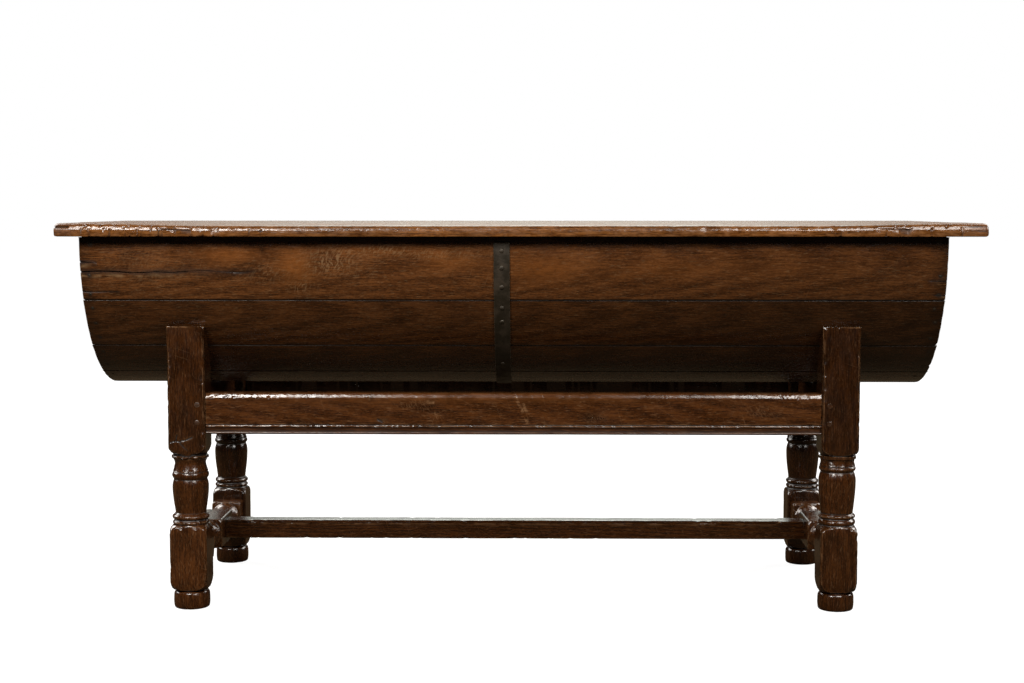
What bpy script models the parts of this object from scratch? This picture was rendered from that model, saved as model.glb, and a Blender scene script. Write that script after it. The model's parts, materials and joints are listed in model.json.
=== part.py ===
"""Dough bin table: a coopered half-barrel trough under a loose plank lid, cradled in a pegged stand.

Metres, +Z up, with the front towards -Y. The origin lies on the floor, below the middle of the lid.
"""

import math

import bmesh
import bpy
from mathutils import Matrix, Vector

# Driving dimensions, in metres

TABLE_HEIGHT = 0.790
FIT = 0.0003  # gap between pieces that touch

# Trough: staves nailed round two heads
TROUGH_LENGTH = 1.724
TROUGH_RADIUS = 0.318
STAVE_TURNS = (23.7, 21.0, 18.4)  # degrees of the barrel that each stave takes from the rim, before the lowest
STAVE_STEPS = 4  # flats across the curve of one stave
STAVE_THICKNESS = 0.024
HEAD_THICKNESS = 0.034
HEAD_UPPER_BOARD = 0.150  # height of the upper of the two boards in a head

# Iron strap round the middle of the trough, and its nails
STRAP_X = -0.021  # from the middle of the trough
STRAP_WIDTH = 0.032
STRAP_THICKNESS = 0.003
STRAP_DROP = 0.010  # from the rim to the ends of the strap
STRAP_NAILS = ((0.21, 0.47, 0.77), (0.13, 0.41), (0.56,))  # shares of each stave's width, from the rim
NAIL_SHANK = 0.0020
NAIL_POINT = 0.0012
NAIL_LENGTH = 0.020
NAIL_HEAD = 0.0048
NAIL_HEAD_HEIGHT = 0.0024
NAIL_DOME = ((1.0, 0.0), (0.80, 0.65), (0.35, 1.0))  # shares of the head's radius and height

# Lid: three boards on two battens
LID_THICKNESS = 0.027
LID_OVERHANG = 0.031  # past the front and back of the trough
LID_END_OVERHANG = 0.057
LID_BOARD_SHIFTS = {"front": 0.0144, "middle": 0.0, "back": 0.0}  # how far each board lies towards +X
LID_EDGE_ROUND = 0.009
BATTEN_WIDTH = 0.064
BATTEN_THICKNESS = 0.024
BATTEN_CLEARANCE = 0.008  # from the batten's ends to the staves
BATTEN_INSET = 0.110  # from the inside of a head to the batten

# Legs
LEG_SECTION = 0.0765
LEG_END_INSET = 0.2007  # from the trough's ends in to the axes of the legs
POST_INSET = 0.043  # from the front of the trough back to the front of the posts
POST_TOP_THICKNESS = 0.0135
UPPER_BLOCK_DROP = 0.026  # the post stays square this far below the rails
LOWER_BLOCK_ABOVE = 0.041  # the lower block stays square this far above the stretcher's axis
LOWER_BLOCK_BELOW = 0.060  # and this far below it
UPPER_SHOULDER = 0.016
LOWER_SHOULDER = 0.0145
FOOT_SHOULDER = 0.021
CORNER_EASE = 0.0022  # taken off the corners of the squared parts

# Turning of the legs
RING_RADIUS = 0.0380
RING_HEIGHT = 0.0105
QUIRK_RADIUS = 0.0350  # beside each ring
QUIRK_HEIGHT = 0.002
NECK_RADIUS = 0.0326
NECK_HEIGHT = 0.0205
VASE_BELLY = 0.0376
VASE_FOOT = 0.0320
VASE_BELLY_SHARE = 0.78  # where the belly lies up the vase
COLLAR_HEIGHT = 0.008  # smaller ring between the lower block and its ring
FOOT_RADIUS = 0.0371
FOOT_EASE = 0.004
ANKLE_RADIUS = 0.0340
ANKLE_HEIGHT = 0.004

# Rails
RAIL_HEIGHT = 0.0845
RAIL_ABOVE_TROUGH = 0.0015  # the rails rise this far past the underside of the trough
RAIL_THICKNESS = 0.036
RAIL_SETBACK = 0.006
RAIL_ARRIS = 0.007
MOULDING_BEAD = 0.006
MOULDING_COVE = 0.009
MOULDING_FILLET = 0.003
MOULDING_QUIRK = 0.0025
MOULDING_DEPTH = 0.005
MOULDING_STEP = 0.001  # from the rail's face back to the fillet
CRADLE_THICKNESS = 0.036
CRADLE_LAND = 0.008  # flat left at each end of the hollow edge

# Stretchers
STRETCHER_AXIS = 0.119  # height of the end stretchers' axis
STRETCHER_SECTION = 0.064
STRETCHER_BLOCK = 0.116  # length of the middle block
STRETCHER_END_BLOCK = 0.036
STRETCHER_SHOULDER = 0.007
STRETCHER_RING = 0.012
STRETCHER_RING_RADIUS = 0.0312
STRETCHER_QUIRK_RADIUS = 0.0255
STRETCHER_NECK_RADIUS = 0.0225
LONG_STRETCHER_AXIS = 0.122
LONG_STRETCHER_WIDTH = 0.046
LONG_STRETCHER_HEIGHT = 0.040
CHAMFER = 0.006
CHAMFER_STOP = 0.050  # square left at each end of a chamfer
CHAMFER_RUNOUT = 0.012

# Joints
TENON_THICKNESS = 0.014
TENON_LENGTH = 0.044
TENON_SHOULDER = 0.010
TENON_ROOT = 0.004  # a tenon starts this deep in its own piece
TENON_WALL = 0.011  # wood left between two tenons in one post
CRADLE_TENON_SHOULDER = 0.016
STRETCHER_TENON = (0.022, 0.038)
STRETCHER_TENON_LENGTH = 0.040
LONG_TENON = (0.026, 0.018)
LONG_TENON_LENGTH = 0.040
PEG_RADIUS = 0.0056
PEG_INSET = 0.016  # from the edge of the mortised piece
PEG_MARGIN = 0.024  # from the upper and lower edge of a rail
PEG_PAST = 0.005  # past the tenon
PEG_PROUD = 0.0010
PEG_CHAMFER = 0.0012

# Fineness of round pieces
TURNED_SIDES = 16
PEG_SIDES = 10
NAIL_SIDES = 6
CURVE_STEPS = 3

# Sizes that follow from them

MIDDLE_X = -(max(LID_BOARD_SHIFTS.values()) + min(LID_BOARD_SHIFTS.values())) / 2
RIM = TABLE_HEIGHT - LID_THICKNESS - FIT
TROUGH_BOTTOM = RIM - TROUGH_RADIUS
UPPER_EDGES = [math.radians(sum(STAVE_TURNS[:i])) for i in range(len(STAVE_TURNS) + 1)]
STAVE_EDGES = [*UPPER_EDGES, math.pi / 2, *[math.pi - edge for edge in reversed(UPPER_EDGES)]]
INNER_RADIUS = TROUGH_RADIUS - STAVE_THICKNESS
HALF_LEG = LEG_SECTION / 2
LEG_SPREAD = TROUGH_LENGTH - 2 * LEG_END_INSET
LEG_X = LEG_SPREAD / 2
LEG_Y = TROUGH_RADIUS - POST_INSET - HALF_LEG
POST_FACE = LEG_Y + HALF_LEG
POST_BACK = LEG_Y - HALF_LEG
POST_TOP = RIM - math.sqrt(TROUGH_RADIUS**2 - (POST_FACE - POST_TOP_THICKNESS) ** 2)
RAIL_TOP = TROUGH_BOTTOM + RAIL_ABOVE_TROUGH
RAIL_BOTTOM = RAIL_TOP - RAIL_HEIGHT
RAIL_FACE = POST_FACE - RAIL_SETBACK
RAIL_MIDDLE = RAIL_FACE - RAIL_THICKNESS / 2
CRADLE_TOP = RIM - math.sqrt((TROUGH_RADIUS + FIT) ** 2 - (POST_BACK - CRADLE_LAND) ** 2)
CRADLE_TENON_LENGTH = RAIL_MIDDLE - TENON_THICKNESS / 2 - TENON_WALL - POST_BACK
HALF_STRETCHER = STRETCHER_SECTION / 2


# Helpers

def clear_scene():
    """Removes whatever the scene holds."""
    for obj in list(bpy.data.objects):
        bpy.data.objects.remove(obj, do_unlink=True)


def make_material(name, colour, roughness, metallic=0.0):
    """Returns a Principled material."""
    material = bpy.data.materials.new(name)
    material.use_nodes = True
    shader = material.node_tree.nodes["Principled BSDF"]
    shader.inputs["Base Color"].default_value = (*colour, 1.0)
    shader.inputs["Roughness"].default_value = roughness
    shader.inputs["Metallic"].default_value = metallic
    return material


def make_empty(name, location):
    """Returns an empty that carries one body of the table."""
    empty = bpy.data.objects.new(name, None)
    empty.location = location
    bpy.context.collection.objects.link(empty)
    return empty


def make_mesh(name, bm):
    """Turns a bmesh into a mesh with its faces pointing out."""
    bmesh.ops.recalc_face_normals(bm, faces=bm.faces)
    mesh = bpy.data.meshes.new(name)
    bm.to_mesh(mesh)
    bm.free()
    return mesh


def make_object(name, bm, parent, material=None, location=(0, 0, 0), rotation=(0, 0, 0)):
    """Turns a bmesh into an object under a parent."""
    return place_mesh(name, make_mesh(name, bm), parent, material, location, rotation)


def place_mesh(name, mesh, parent, material=None, location=(0, 0, 0), rotation=(0, 0, 0)):
    """Places a mesh as an object under a parent."""
    obj = bpy.data.objects.new(name, mesh)
    obj.parent = parent
    obj.location = location
    obj.rotation_euler = rotation
    if material and not mesh.materials:
        mesh.materials.append(material)
    bpy.context.collection.objects.link(obj)
    return obj


def place_tool(name, mesh, parent, location=(0, 0, 0), rotation=(0, 0, 0)):
    """Places a mesh as a hidden shape for a Boolean."""
    tool = place_mesh("tool_" + name, mesh, parent, None, location, rotation)
    tool.hide_render = True
    tool.display_type = "WIRE"
    return tool


def make_tool(name, bm, parent, location=(0, 0, 0), rotation=(0, 0, 0)):
    """Turns a bmesh into a hidden shape for a Boolean."""
    return place_tool(name, make_mesh(name, bm), parent, location, rotation)


def combine(obj, tool, operation):
    """Cuts a tool from an object, joins it on, or keeps what they share."""
    modifier = obj.modifiers.new(f"{operation.lower()} {tool.name}", "BOOLEAN")
    modifier.operation = operation
    modifier.solver = "EXACT"
    modifier.object = tool


def shade_round(obj, angle=math.radians(35)):
    """Shades an object smooth except across its corners."""
    obj.data.shade_smooth()
    obj.data.set_sharp_from_angle(angle=angle)


def box(low, high):
    """Returns the bmesh of a box between two corners."""
    low = Vector(low)
    high = Vector(high)
    bm = bmesh.new()
    bmesh.ops.create_cube(bm, size=1.0)
    bmesh.ops.scale(bm, vec=high - low, verts=bm.verts)
    bmesh.ops.translate(bm, vec=(low + high) / 2, verts=bm.verts)
    return bm


def prism(outline, start, end):
    """Returns the bmesh of a (y, z) outline drawn along X from start to end."""
    bm = bmesh.new()
    face = bm.faces.new([bm.verts.new((start, y, z)) for y, z in outline])
    drawn = bmesh.ops.extrude_face_region(bm, geom=[face])
    moved = [item for item in drawn["geom"] if isinstance(item, bmesh.types.BMVert)]
    bmesh.ops.translate(bm, vec=(end - start, 0, 0), verts=moved)
    return bm


def lathe(profile, sides):
    """Returns the bmesh of a (radius, height) profile turned about Z, with a flat towards each diagonal."""
    bm = bmesh.new()
    points = [(0.0, profile[0][1]), *profile, (0.0, profile[-1][1])]
    verts = [bm.verts.new((radius, 0, height)) for radius, height in points]
    edges = [bm.edges.new(pair) for pair in zip(verts, verts[1:])]
    bmesh.ops.spin(
        bm,
        geom=verts + edges,
        cent=(0, 0, 0),
        axis=(0, 0, 1),
        angle=math.tau,
        steps=sides,
        use_merge=True,
    )
    bmesh.ops.remove_doubles(bm, verts=bm.verts, dist=1e-6)
    bmesh.ops.rotate(bm, cent=(0, 0, 0), matrix=Matrix.Rotation(math.pi / sides, 3, "Z"), verts=bm.verts)
    return bm


def barrel_point(radius, angle):
    """The (y, z) of a point on the barrel about its axis, by the angle turned from the front rim."""
    return -radius * math.cos(angle), -radius * math.sin(angle)


def stave_angles(start, end):
    """Angles of the corners across the curve of one stave."""
    return [start + (end - start) * i / STAVE_STEPS for i in range(STAVE_STEPS + 1)]


def barrel_angles():
    """Angles of all the corners round the half barrel."""
    corners = [angle for pair in zip(STAVE_EDGES, STAVE_EDGES[1:]) for angle in stave_angles(*pair)[:-1]]
    return [*corners, STAVE_EDGES[-1]]


def barrel_arc(radius, angles):
    """Points round the barrel at the given angles."""
    return [barrel_point(radius, angle) for angle in angles]


# Profiles of the turned pieces, as lists of (radius, height)

def bead(low, high, edge, crest, steps=CURVE_STEPS):
    """A rounded ring."""
    shares = [i / steps for i in range(steps + 1)]
    return [(edge + (crest - edge) * math.sin(math.pi * t), low + (high - low) * t) for t in shares]


def hollow(low, high, edge, depth_radius, steps=CURVE_STEPS):
    """A rounded groove, narrowest half way up."""
    return bead(low, high, edge, depth_radius, steps)


def drum(low, high, radius, ease):
    """A straight-sided foot with eased edges."""
    return [(radius - ease, low), (radius, low + ease), (radius, high - ease / 2), (radius - ease / 2, high)]


def shoulder(low, high, low_radius, high_radius, steps=CURVE_STEPS - 1):
    """A quarter round between a squared block and a turned part, steep at the narrower end."""
    rising = high_radius > low_radius
    points = []
    for i in range(steps + 1):
        t = i / steps
        turned = math.sqrt(1 - (1 - t) ** 2) if rising else 1 - math.sqrt(1 - t**2)
        points.append((low_radius + (high_radius - low_radius) * turned, low + (high - low) * t))
    return points


def vase(low, high, top_radius, steps=2 * CURVE_STEPS):
    """The swelling part of a leg, with its belly above the middle."""
    points = []
    for i in range(steps + 1):
        t = i / steps
        if t < VASE_BELLY_SHARE:
            swell = math.sin(math.pi / 2 * t / VASE_BELLY_SHARE)
            radius = VASE_FOOT + (VASE_BELLY - VASE_FOOT) * swell
        else:
            fall = (t - VASE_BELLY_SHARE) / (1 - VASE_BELLY_SHARE)
            radius = VASE_BELLY - (VASE_BELLY - top_radius) * fall**2
        points.append((radius, low + (high - low) * t))
    return points


def leg_profile():
    """The outline of a leg from the floor up, with the squared parts left wider than the wood."""
    square = (HALF_LEG * math.sqrt(2) - CORNER_EASE) / math.cos(math.pi / TURNED_SIDES)
    block_low = STRETCHER_AXIS - LOWER_BLOCK_BELOW
    block_high = STRETCHER_AXIS + LOWER_BLOCK_ABOVE
    post_low = RAIL_BOTTOM - UPPER_BLOCK_DROP
    ankle_top = block_low - FOOT_SHOULDER
    foot_top = ankle_top - ANKLE_HEIGHT
    collar = block_high + LOWER_SHOULDER
    collar_ring = collar + QUIRK_HEIGHT
    lower_ring = collar_ring + COLLAR_HEIGHT + QUIRK_HEIGHT
    vase_low = lower_ring + RING_HEIGHT + QUIRK_HEIGHT
    top_ring_high = post_low - UPPER_SHOULDER - QUIRK_HEIGHT
    top_ring_low = top_ring_high - RING_HEIGHT
    middle_ring_high = top_ring_low - NECK_HEIGHT
    middle_ring_low = middle_ring_high - RING_HEIGHT
    vase_high = middle_ring_low - QUIRK_HEIGHT
    return [
        *drum(0.0, foot_top, FOOT_RADIUS, FOOT_EASE),
        (ANKLE_RADIUS, foot_top + ANKLE_HEIGHT / 2),
        *shoulder(ankle_top, block_low, ANKLE_RADIUS, square),
        *shoulder(block_high, collar, square, HALF_LEG - CORNER_EASE),
        *bead(collar_ring, collar_ring + COLLAR_HEIGHT, QUIRK_RADIUS, RING_RADIUS),
        *bead(lower_ring, lower_ring + RING_HEIGHT, QUIRK_RADIUS, RING_RADIUS),
        *vase(vase_low, vase_high, QUIRK_RADIUS),
        *bead(middle_ring_low, middle_ring_high, QUIRK_RADIUS, RING_RADIUS),
        *hollow(middle_ring_high + QUIRK_HEIGHT, top_ring_low - QUIRK_HEIGHT, QUIRK_RADIUS, NECK_RADIUS),
        *bead(top_ring_low, top_ring_high, QUIRK_RADIUS, RING_RADIUS),
        *shoulder(post_low - UPPER_SHOULDER, post_low, QUIRK_RADIUS, square),
        (square, POST_TOP),
    ]


def stretcher_profile():
    """The outline of an end stretcher from its middle to the leg that it meets."""
    square = (HALF_STRETCHER * math.sqrt(2) - CORNER_EASE) / math.cos(math.pi / TURNED_SIDES)
    block = STRETCHER_BLOCK / 2
    inner_ring = block + STRETCHER_SHOULDER
    end = POST_BACK - FIT
    end_block = POST_BACK - STRETCHER_END_BLOCK
    outer_ring = end_block - STRETCHER_SHOULDER - STRETCHER_RING
    half = [
        *shoulder(block, inner_ring, square, HALF_STRETCHER),
        *bead(inner_ring, inner_ring + STRETCHER_RING, STRETCHER_QUIRK_RADIUS, STRETCHER_RING_RADIUS),
        *hollow(
            inner_ring + STRETCHER_RING + QUIRK_HEIGHT,
            outer_ring - QUIRK_HEIGHT,
            STRETCHER_RING_RADIUS,
            STRETCHER_NECK_RADIUS,
        ),
        *bead(outer_ring, outer_ring + STRETCHER_RING, STRETCHER_QUIRK_RADIUS, STRETCHER_RING_RADIUS),
        *shoulder(end_block - STRETCHER_SHOULDER, end_block, HALF_STRETCHER, square),
        (square, end),
    ]
    mirrored = [(radius, -height) for radius, height in reversed(half)]
    return mirrored + half


def rail_outline():
    """The (y, z) section of a front rail, with its moulded face towards -Y."""
    face = -RAIL_FACE
    back = face + RAIL_THICKNESS
    cove_low = RAIL_BOTTOM + MOULDING_BEAD
    cove_high = cove_low + MOULDING_COVE
    fillet_high = cove_high + MOULDING_FILLET
    quirk_high = fillet_high + MOULDING_QUIRK
    points = [(back, RAIL_TOP), (back, RAIL_BOTTOM), (face + MOULDING_BEAD / 2, RAIL_BOTTOM)]
    bead_radius = MOULDING_BEAD / 2
    for i in range(1, CURVE_STEPS):
        turn = math.pi * i / CURVE_STEPS
        up = bead_radius * (1 - math.cos(turn))
        points.append((face + bead_radius * (1 - math.sin(turn)), RAIL_BOTTOM + up))
    for i in range(CURVE_STEPS + 1):
        turn = math.pi / 2 * i / CURVE_STEPS
        inward = MOULDING_STEP + (MOULDING_DEPTH - MOULDING_STEP) * math.cos(turn)
        points.append((face + inward, cove_low + MOULDING_COVE * math.sin(turn)))
    points.append((face + MOULDING_STEP, fillet_high))
    points.append((face + MOULDING_DEPTH / 2, (fillet_high + quirk_high) / 2))
    points.append((face, quirk_high))
    for i in range(CURVE_STEPS + 1):
        turn = math.pi / 2 * i / CURVE_STEPS
        inward = RAIL_ARRIS * (1 - math.cos(turn))
        points.append((face + inward, RAIL_TOP - RAIL_ARRIS * (1 - math.sin(turn))))
    return points


# Joinery

def add_tenon(piece, host_pieces, name, low, high, parent):
    """Joins a tenon on to a piece, and cuts its mortise in each piece that takes it."""
    combine(piece, make_tool(name + "_tenon", box(low, high), parent), "UNION")
    room = Vector((FIT, FIT, FIT))
    mortise = make_tool(name + "_mortise", box(Vector(low) - room, Vector(high) + room), parent)
    for host in host_pieces:
        combine(host, mortise, "DIFFERENCE")


def add_peg(name, head, direction, depth, pieces, parent, material):
    """Drives a peg from the surface point head along a direction, through the pieces that it pins."""
    direction = Vector(direction).normalized()
    turn = direction.to_track_quat("Z", "Y").to_euler()
    start = -PEG_PROUD
    outline = [(PEG_RADIUS - PEG_CHAMFER, start), (PEG_RADIUS, start + PEG_CHAMFER), (PEG_RADIUS, depth)]
    peg = make_object(name, lathe(outline, PEG_SIDES), parent, material, head, turn)
    shade_round(peg)
    hole_outline = [(PEG_RADIUS + FIT, -LEG_SECTION / 4), (PEG_RADIUS + FIT, depth + FIT)]
    hole = make_tool(name + "_hole", lathe(hole_outline, PEG_SIDES), parent, head, turn)
    for piece in pieces:
        combine(piece, hole, "DIFFERENCE")


# Sub-assemblies

def make_trough(trough, wood, iron):
    """Staves, heads, strap and nails, about the trough's axis at the rim."""
    staves = make_staves(trough, wood)
    make_heads(trough, wood)
    strap = make_strap(trough, iron)
    make_strap_nails(trough, iron, strap, staves)


def make_staves(trough, wood):
    """Staves round the half barrel, from the front rim to the back."""
    seam = FIT / TROUGH_RADIUS / 2
    staves = []
    for number, (start, end) in enumerate(zip(STAVE_EDGES, STAVE_EDGES[1:]), 1):
        angles = stave_angles(start + seam, end - seam)
        outline = barrel_arc(TROUGH_RADIUS, angles) + barrel_arc(INNER_RADIUS, angles[::-1])
        bm = prism(outline, -TROUGH_LENGTH / 2, TROUGH_LENGTH / 2)
        stave = make_object(f"stave_{number}", bm, trough, wood)
        shade_round(stave)
        staves.append(stave)
    return staves


def make_heads(trough, wood):
    """Two half-round ends, each an upper and a lower board."""
    outline = barrel_arc(INNER_RADIUS - FIT, barrel_angles())
    for side, sign in (("left", -1), ("right", 1)):
        outer = sign * TROUGH_LENGTH / 2
        inner = outer - sign * HEAD_THICKNESS
        for board, keep in (("upper", -1), ("lower", 1)):
            bm = prism(outline, outer, inner)
            cut = Vector((0, 0, -HEAD_UPPER_BOARD - keep * FIT / 2))
            bmesh.ops.bisect_plane(
                bm,
                geom=[*bm.verts, *bm.edges, *bm.faces],
                plane_co=cut,
                plane_no=(0, 0, keep),
                clear_outer=True,
            )
            rim = [edge for edge in bm.edges if edge.is_boundary]
            bmesh.ops.edgeloop_fill(bm, edges=rim)
            make_object(f"head_{side}_{board}", bm, trough, wood)


def make_strap(trough, iron):
    """The flat iron band round the staves, from rim to rim."""
    inner_radius = TROUGH_RADIUS + FIT
    outer_radius = inner_radius + STRAP_THICKNESS
    first = math.asin(STRAP_DROP / TROUGH_RADIUS)
    angles = [first, *[turn for turn in barrel_angles() if first < turn < math.pi - first], math.pi - first]
    outline = barrel_arc(outer_radius, angles) + barrel_arc(inner_radius, angles[::-1])
    bm = prism(outline, STRAP_X - STRAP_WIDTH / 2, STRAP_X + STRAP_WIDTH / 2)
    strap = make_object("iron_strap", bm, trough, iron)
    shade_round(strap)
    return strap


def make_strap_nails(trough, iron, strap, staves):
    """Round-headed nails through the strap into the staves, alike at the front and the back."""
    seat = TROUGH_RADIUS + STRAP_THICKNESS + 2 * FIT
    head = [(NAIL_HEAD * out, NAIL_HEAD_HEIGHT * up) for out, up in NAIL_DOME]
    nail = lathe([(NAIL_POINT, -NAIL_LENGTH), (NAIL_SHANK, -FIT), *head], NAIL_SIDES)
    hole = lathe([(NAIL_SHANK + FIT, -NAIL_LENGTH - FIT), (NAIL_SHANK + FIT, NAIL_LENGTH)], NAIL_SIDES)
    for bm in (nail, hole):
        bmesh.ops.translate(bm, vec=(0, 0, seat), verts=bm.verts)
    nail_mesh = make_mesh("strap_nail", nail)
    hole_mesh = make_mesh("strap_nail_hole", hole)
    shares = [(stave, share) for stave, row in enumerate(STRAP_NAILS) for share in row]
    for side in ("front", "back"):
        for number, (stave, share) in enumerate(shares, 1):
            angle = STAVE_EDGES[stave] + share * (STAVE_EDGES[stave + 1] - STAVE_EDGES[stave])
            index = stave
            if side == "back":
                angle = math.pi - angle
                index = len(staves) - 1 - stave
            turn = (math.pi / 2 + angle, 0, 0)
            name = f"strap_nail_{side}_{number}"
            shade_round(place_mesh(name, nail_mesh, trough, iron, (STRAP_X, 0, 0), turn))
            tool = place_tool(name, hole_mesh, trough, (STRAP_X, 0, 0), turn)
            combine(strap, tool, "DIFFERENCE")
            combine(staves[index], tool, "DIFFERENCE")


def make_lid(lid, wood):
    """Boards with worn outer edges, and the battens under them."""
    length = TROUGH_LENGTH + 2 * LID_END_OVERHANG
    depth = 2 * (TROUGH_RADIUS + LID_OVERHANG)
    width = depth / len(LID_BOARD_SHIFTS)
    for i, (name, shift) in enumerate(LID_BOARD_SHIFTS.items()):
        front = -depth / 2 + i * width
        middle = MIDDLE_X + shift
        low = (middle - length / 2, front + FIT / 2, FIT)
        high = (middle + length / 2, front + width - FIT / 2, FIT + LID_THICKNESS)
        bm = box(low, high)
        round_board(bm, worn_front=i == 0, worn_back=i == len(LID_BOARD_SHIFTS) - 1)
        shade_round(make_object(f"lid_board_{name}", bm, lid, wood))
    half = math.sqrt(INNER_RADIUS**2 - BATTEN_THICKNESS**2) - BATTEN_CLEARANCE
    reach = TROUGH_LENGTH / 2 - HEAD_THICKNESS - BATTEN_INSET
    for side, sign in (("left", -1), ("right", 1)):
        ends = sorted((sign * reach, sign * (reach - BATTEN_WIDTH)))
        bm = box((MIDDLE_X + ends[0], -half, -BATTEN_THICKNESS), (MIDDLE_X + ends[1], half, 0))
        make_object(f"lid_batten_{side}", bm, lid, wood)


def round_board(bm, worn_front, worn_back):
    """Rounds a board's ends, and its front or back where that is the edge of the lid."""
    lowest = min(vert.co.y for vert in bm.verts)
    highest = max(vert.co.y for vert in bm.verts)
    worn = []
    for edge in bm.edges:
        along = (edge.verts[1].co - edge.verts[0].co).normalized()
        middle = (edge.verts[0].co + edge.verts[1].co) / 2
        at_front = middle.y == lowest
        at_back = middle.y == highest
        at_joint = (at_front and not worn_front) or (at_back and not worn_back)
        if abs(along.y) > 0.5 or not at_joint:
            worn.append(edge)
    bmesh.ops.bevel(
        bm,
        geom=worn,
        offset=LID_EDGE_ROUND,
        offset_type="OFFSET",
        segments=CURVE_STEPS - 1,
        profile=0.5,
        affect="EDGES",
        material=-1,
    )


def make_stand(stand, wood, peg_wood):
    """Legs, rails and stretchers with their joints and pegs."""
    legs = make_legs(stand, wood)
    make_rails(stand, wood, peg_wood, legs)
    make_cradle_rails(stand, wood, peg_wood, legs)
    make_stretchers(stand, wood, peg_wood, legs)


def make_legs(stand, wood):
    """Four legs: square bars turned in part, their posts hollowed to take the trough."""
    outline = [(y, RIM + z) for y, z in barrel_arc(TROUGH_RADIUS + FIT, barrel_angles())]
    hollow_tool = make_tool("barrel", prism(outline, -LEG_SPREAD, LEG_SPREAD), stand)
    legs = {}
    for depth, depth_sign in (("front", -1), ("back", 1)):
        for side, side_sign in (("left", -1), ("right", 1)):
            name = f"leg_{depth}_{side}"
            place = (side_sign * LEG_X, depth_sign * LEG_Y, 0)
            leg = make_object(name, lathe(leg_profile(), TURNED_SIDES), stand, wood, place)
            shade_round(leg)
            bar = box((-HALF_LEG, -HALF_LEG, -HALF_LEG), (HALF_LEG, HALF_LEG, POST_TOP + HALF_LEG))
            combine(leg, make_tool(name + "_bar", bar, stand, place), "INTERSECT")
            combine(leg, hollow_tool, "DIFFERENCE")
            legs[depth, side] = leg
    return legs


def make_rails(stand, wood, peg_wood, legs):
    """Front and back rails, moulded along the bottom, with a tenon and two pegs at each post."""
    reach = LEG_X - HALF_LEG - FIT
    heights = {"upper": RAIL_TOP - PEG_MARGIN, "lower": RAIL_BOTTOM + PEG_MARGIN}
    for depth, sign in (("front", -1), ("back", 1)):
        outline = [(-sign * y, z) for y, z in rail_outline()]
        rail = make_object(f"{depth}_rail", prism(outline, -reach, reach), stand, wood)
        shade_round(rail)
        for side, side_sign in (("left", -1), ("right", 1)):
            leg = legs[depth, side]
            ends = sorted((side_sign * (reach - TENON_ROOT), side_sign * (reach + TENON_LENGTH)))
            middle = sign * RAIL_MIDDLE
            low = (ends[0], middle - TENON_THICKNESS / 2, RAIL_BOTTOM + TENON_SHOULDER)
            high = (ends[1], middle + TENON_THICKNESS / 2, RAIL_TOP - TENON_SHOULDER)
            add_tenon(rail, [leg], f"{depth}_rail_{side}", low, high, stand)
            for level, height in heights.items():
                head = (side_sign * (reach + FIT + PEG_INSET), sign * POST_FACE, height)
                length = RAIL_SETBACK + (RAIL_THICKNESS + TENON_THICKNESS) / 2 + PEG_PAST
                name = f"peg_{depth}_rail_{side}_{level}"
                add_peg(name, head, (0, -sign, 0), length, [leg, rail], stand, peg_wood)


def make_cradle_rails(stand, wood, peg_wood, legs):
    """Rails from front to back at each end, hollowed to the barrel, with a tenon and a peg at each post."""
    reach = POST_BACK - FIT
    tenon_low = RAIL_BOTTOM + CRADLE_TENON_SHOULDER
    tenon_high = CRADLE_TOP - CRADLE_TENON_SHOULDER
    barrel = bpy.data.objects["tool_barrel"]
    for side, sign in (("left", -1), ("right", 1)):
        half = CRADLE_THICKNESS / 2
        middle = sign * LEG_X
        bm = box((middle - half, -reach, RAIL_BOTTOM), (middle + half, reach, CRADLE_TOP))
        rail = make_object(f"cradle_rail_{side}", bm, stand, wood)
        combine(rail, barrel, "DIFFERENCE")
        for depth, depth_sign in (("front", -1), ("back", 1)):
            leg = legs[depth, side]
            ends = sorted((depth_sign * (reach - TENON_ROOT), depth_sign * (reach + CRADLE_TENON_LENGTH)))
            low = (middle - TENON_THICKNESS / 2, ends[0], tenon_low)
            high = (middle + TENON_THICKNESS / 2, ends[1], tenon_high)
            add_tenon(rail, [leg], f"cradle_rail_{side}_{depth}", low, high, stand)
            peg_height = (tenon_low + tenon_high) / 2
            head = (middle + sign * HALF_LEG, depth_sign * (POST_BACK + PEG_INSET), peg_height)
            length = HALF_LEG + TENON_THICKNESS / 2 + PEG_PAST
            name = f"peg_cradle_rail_{side}_{depth}"
            add_peg(name, head, (-sign, 0, 0), length, [leg, rail], stand, peg_wood)


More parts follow.
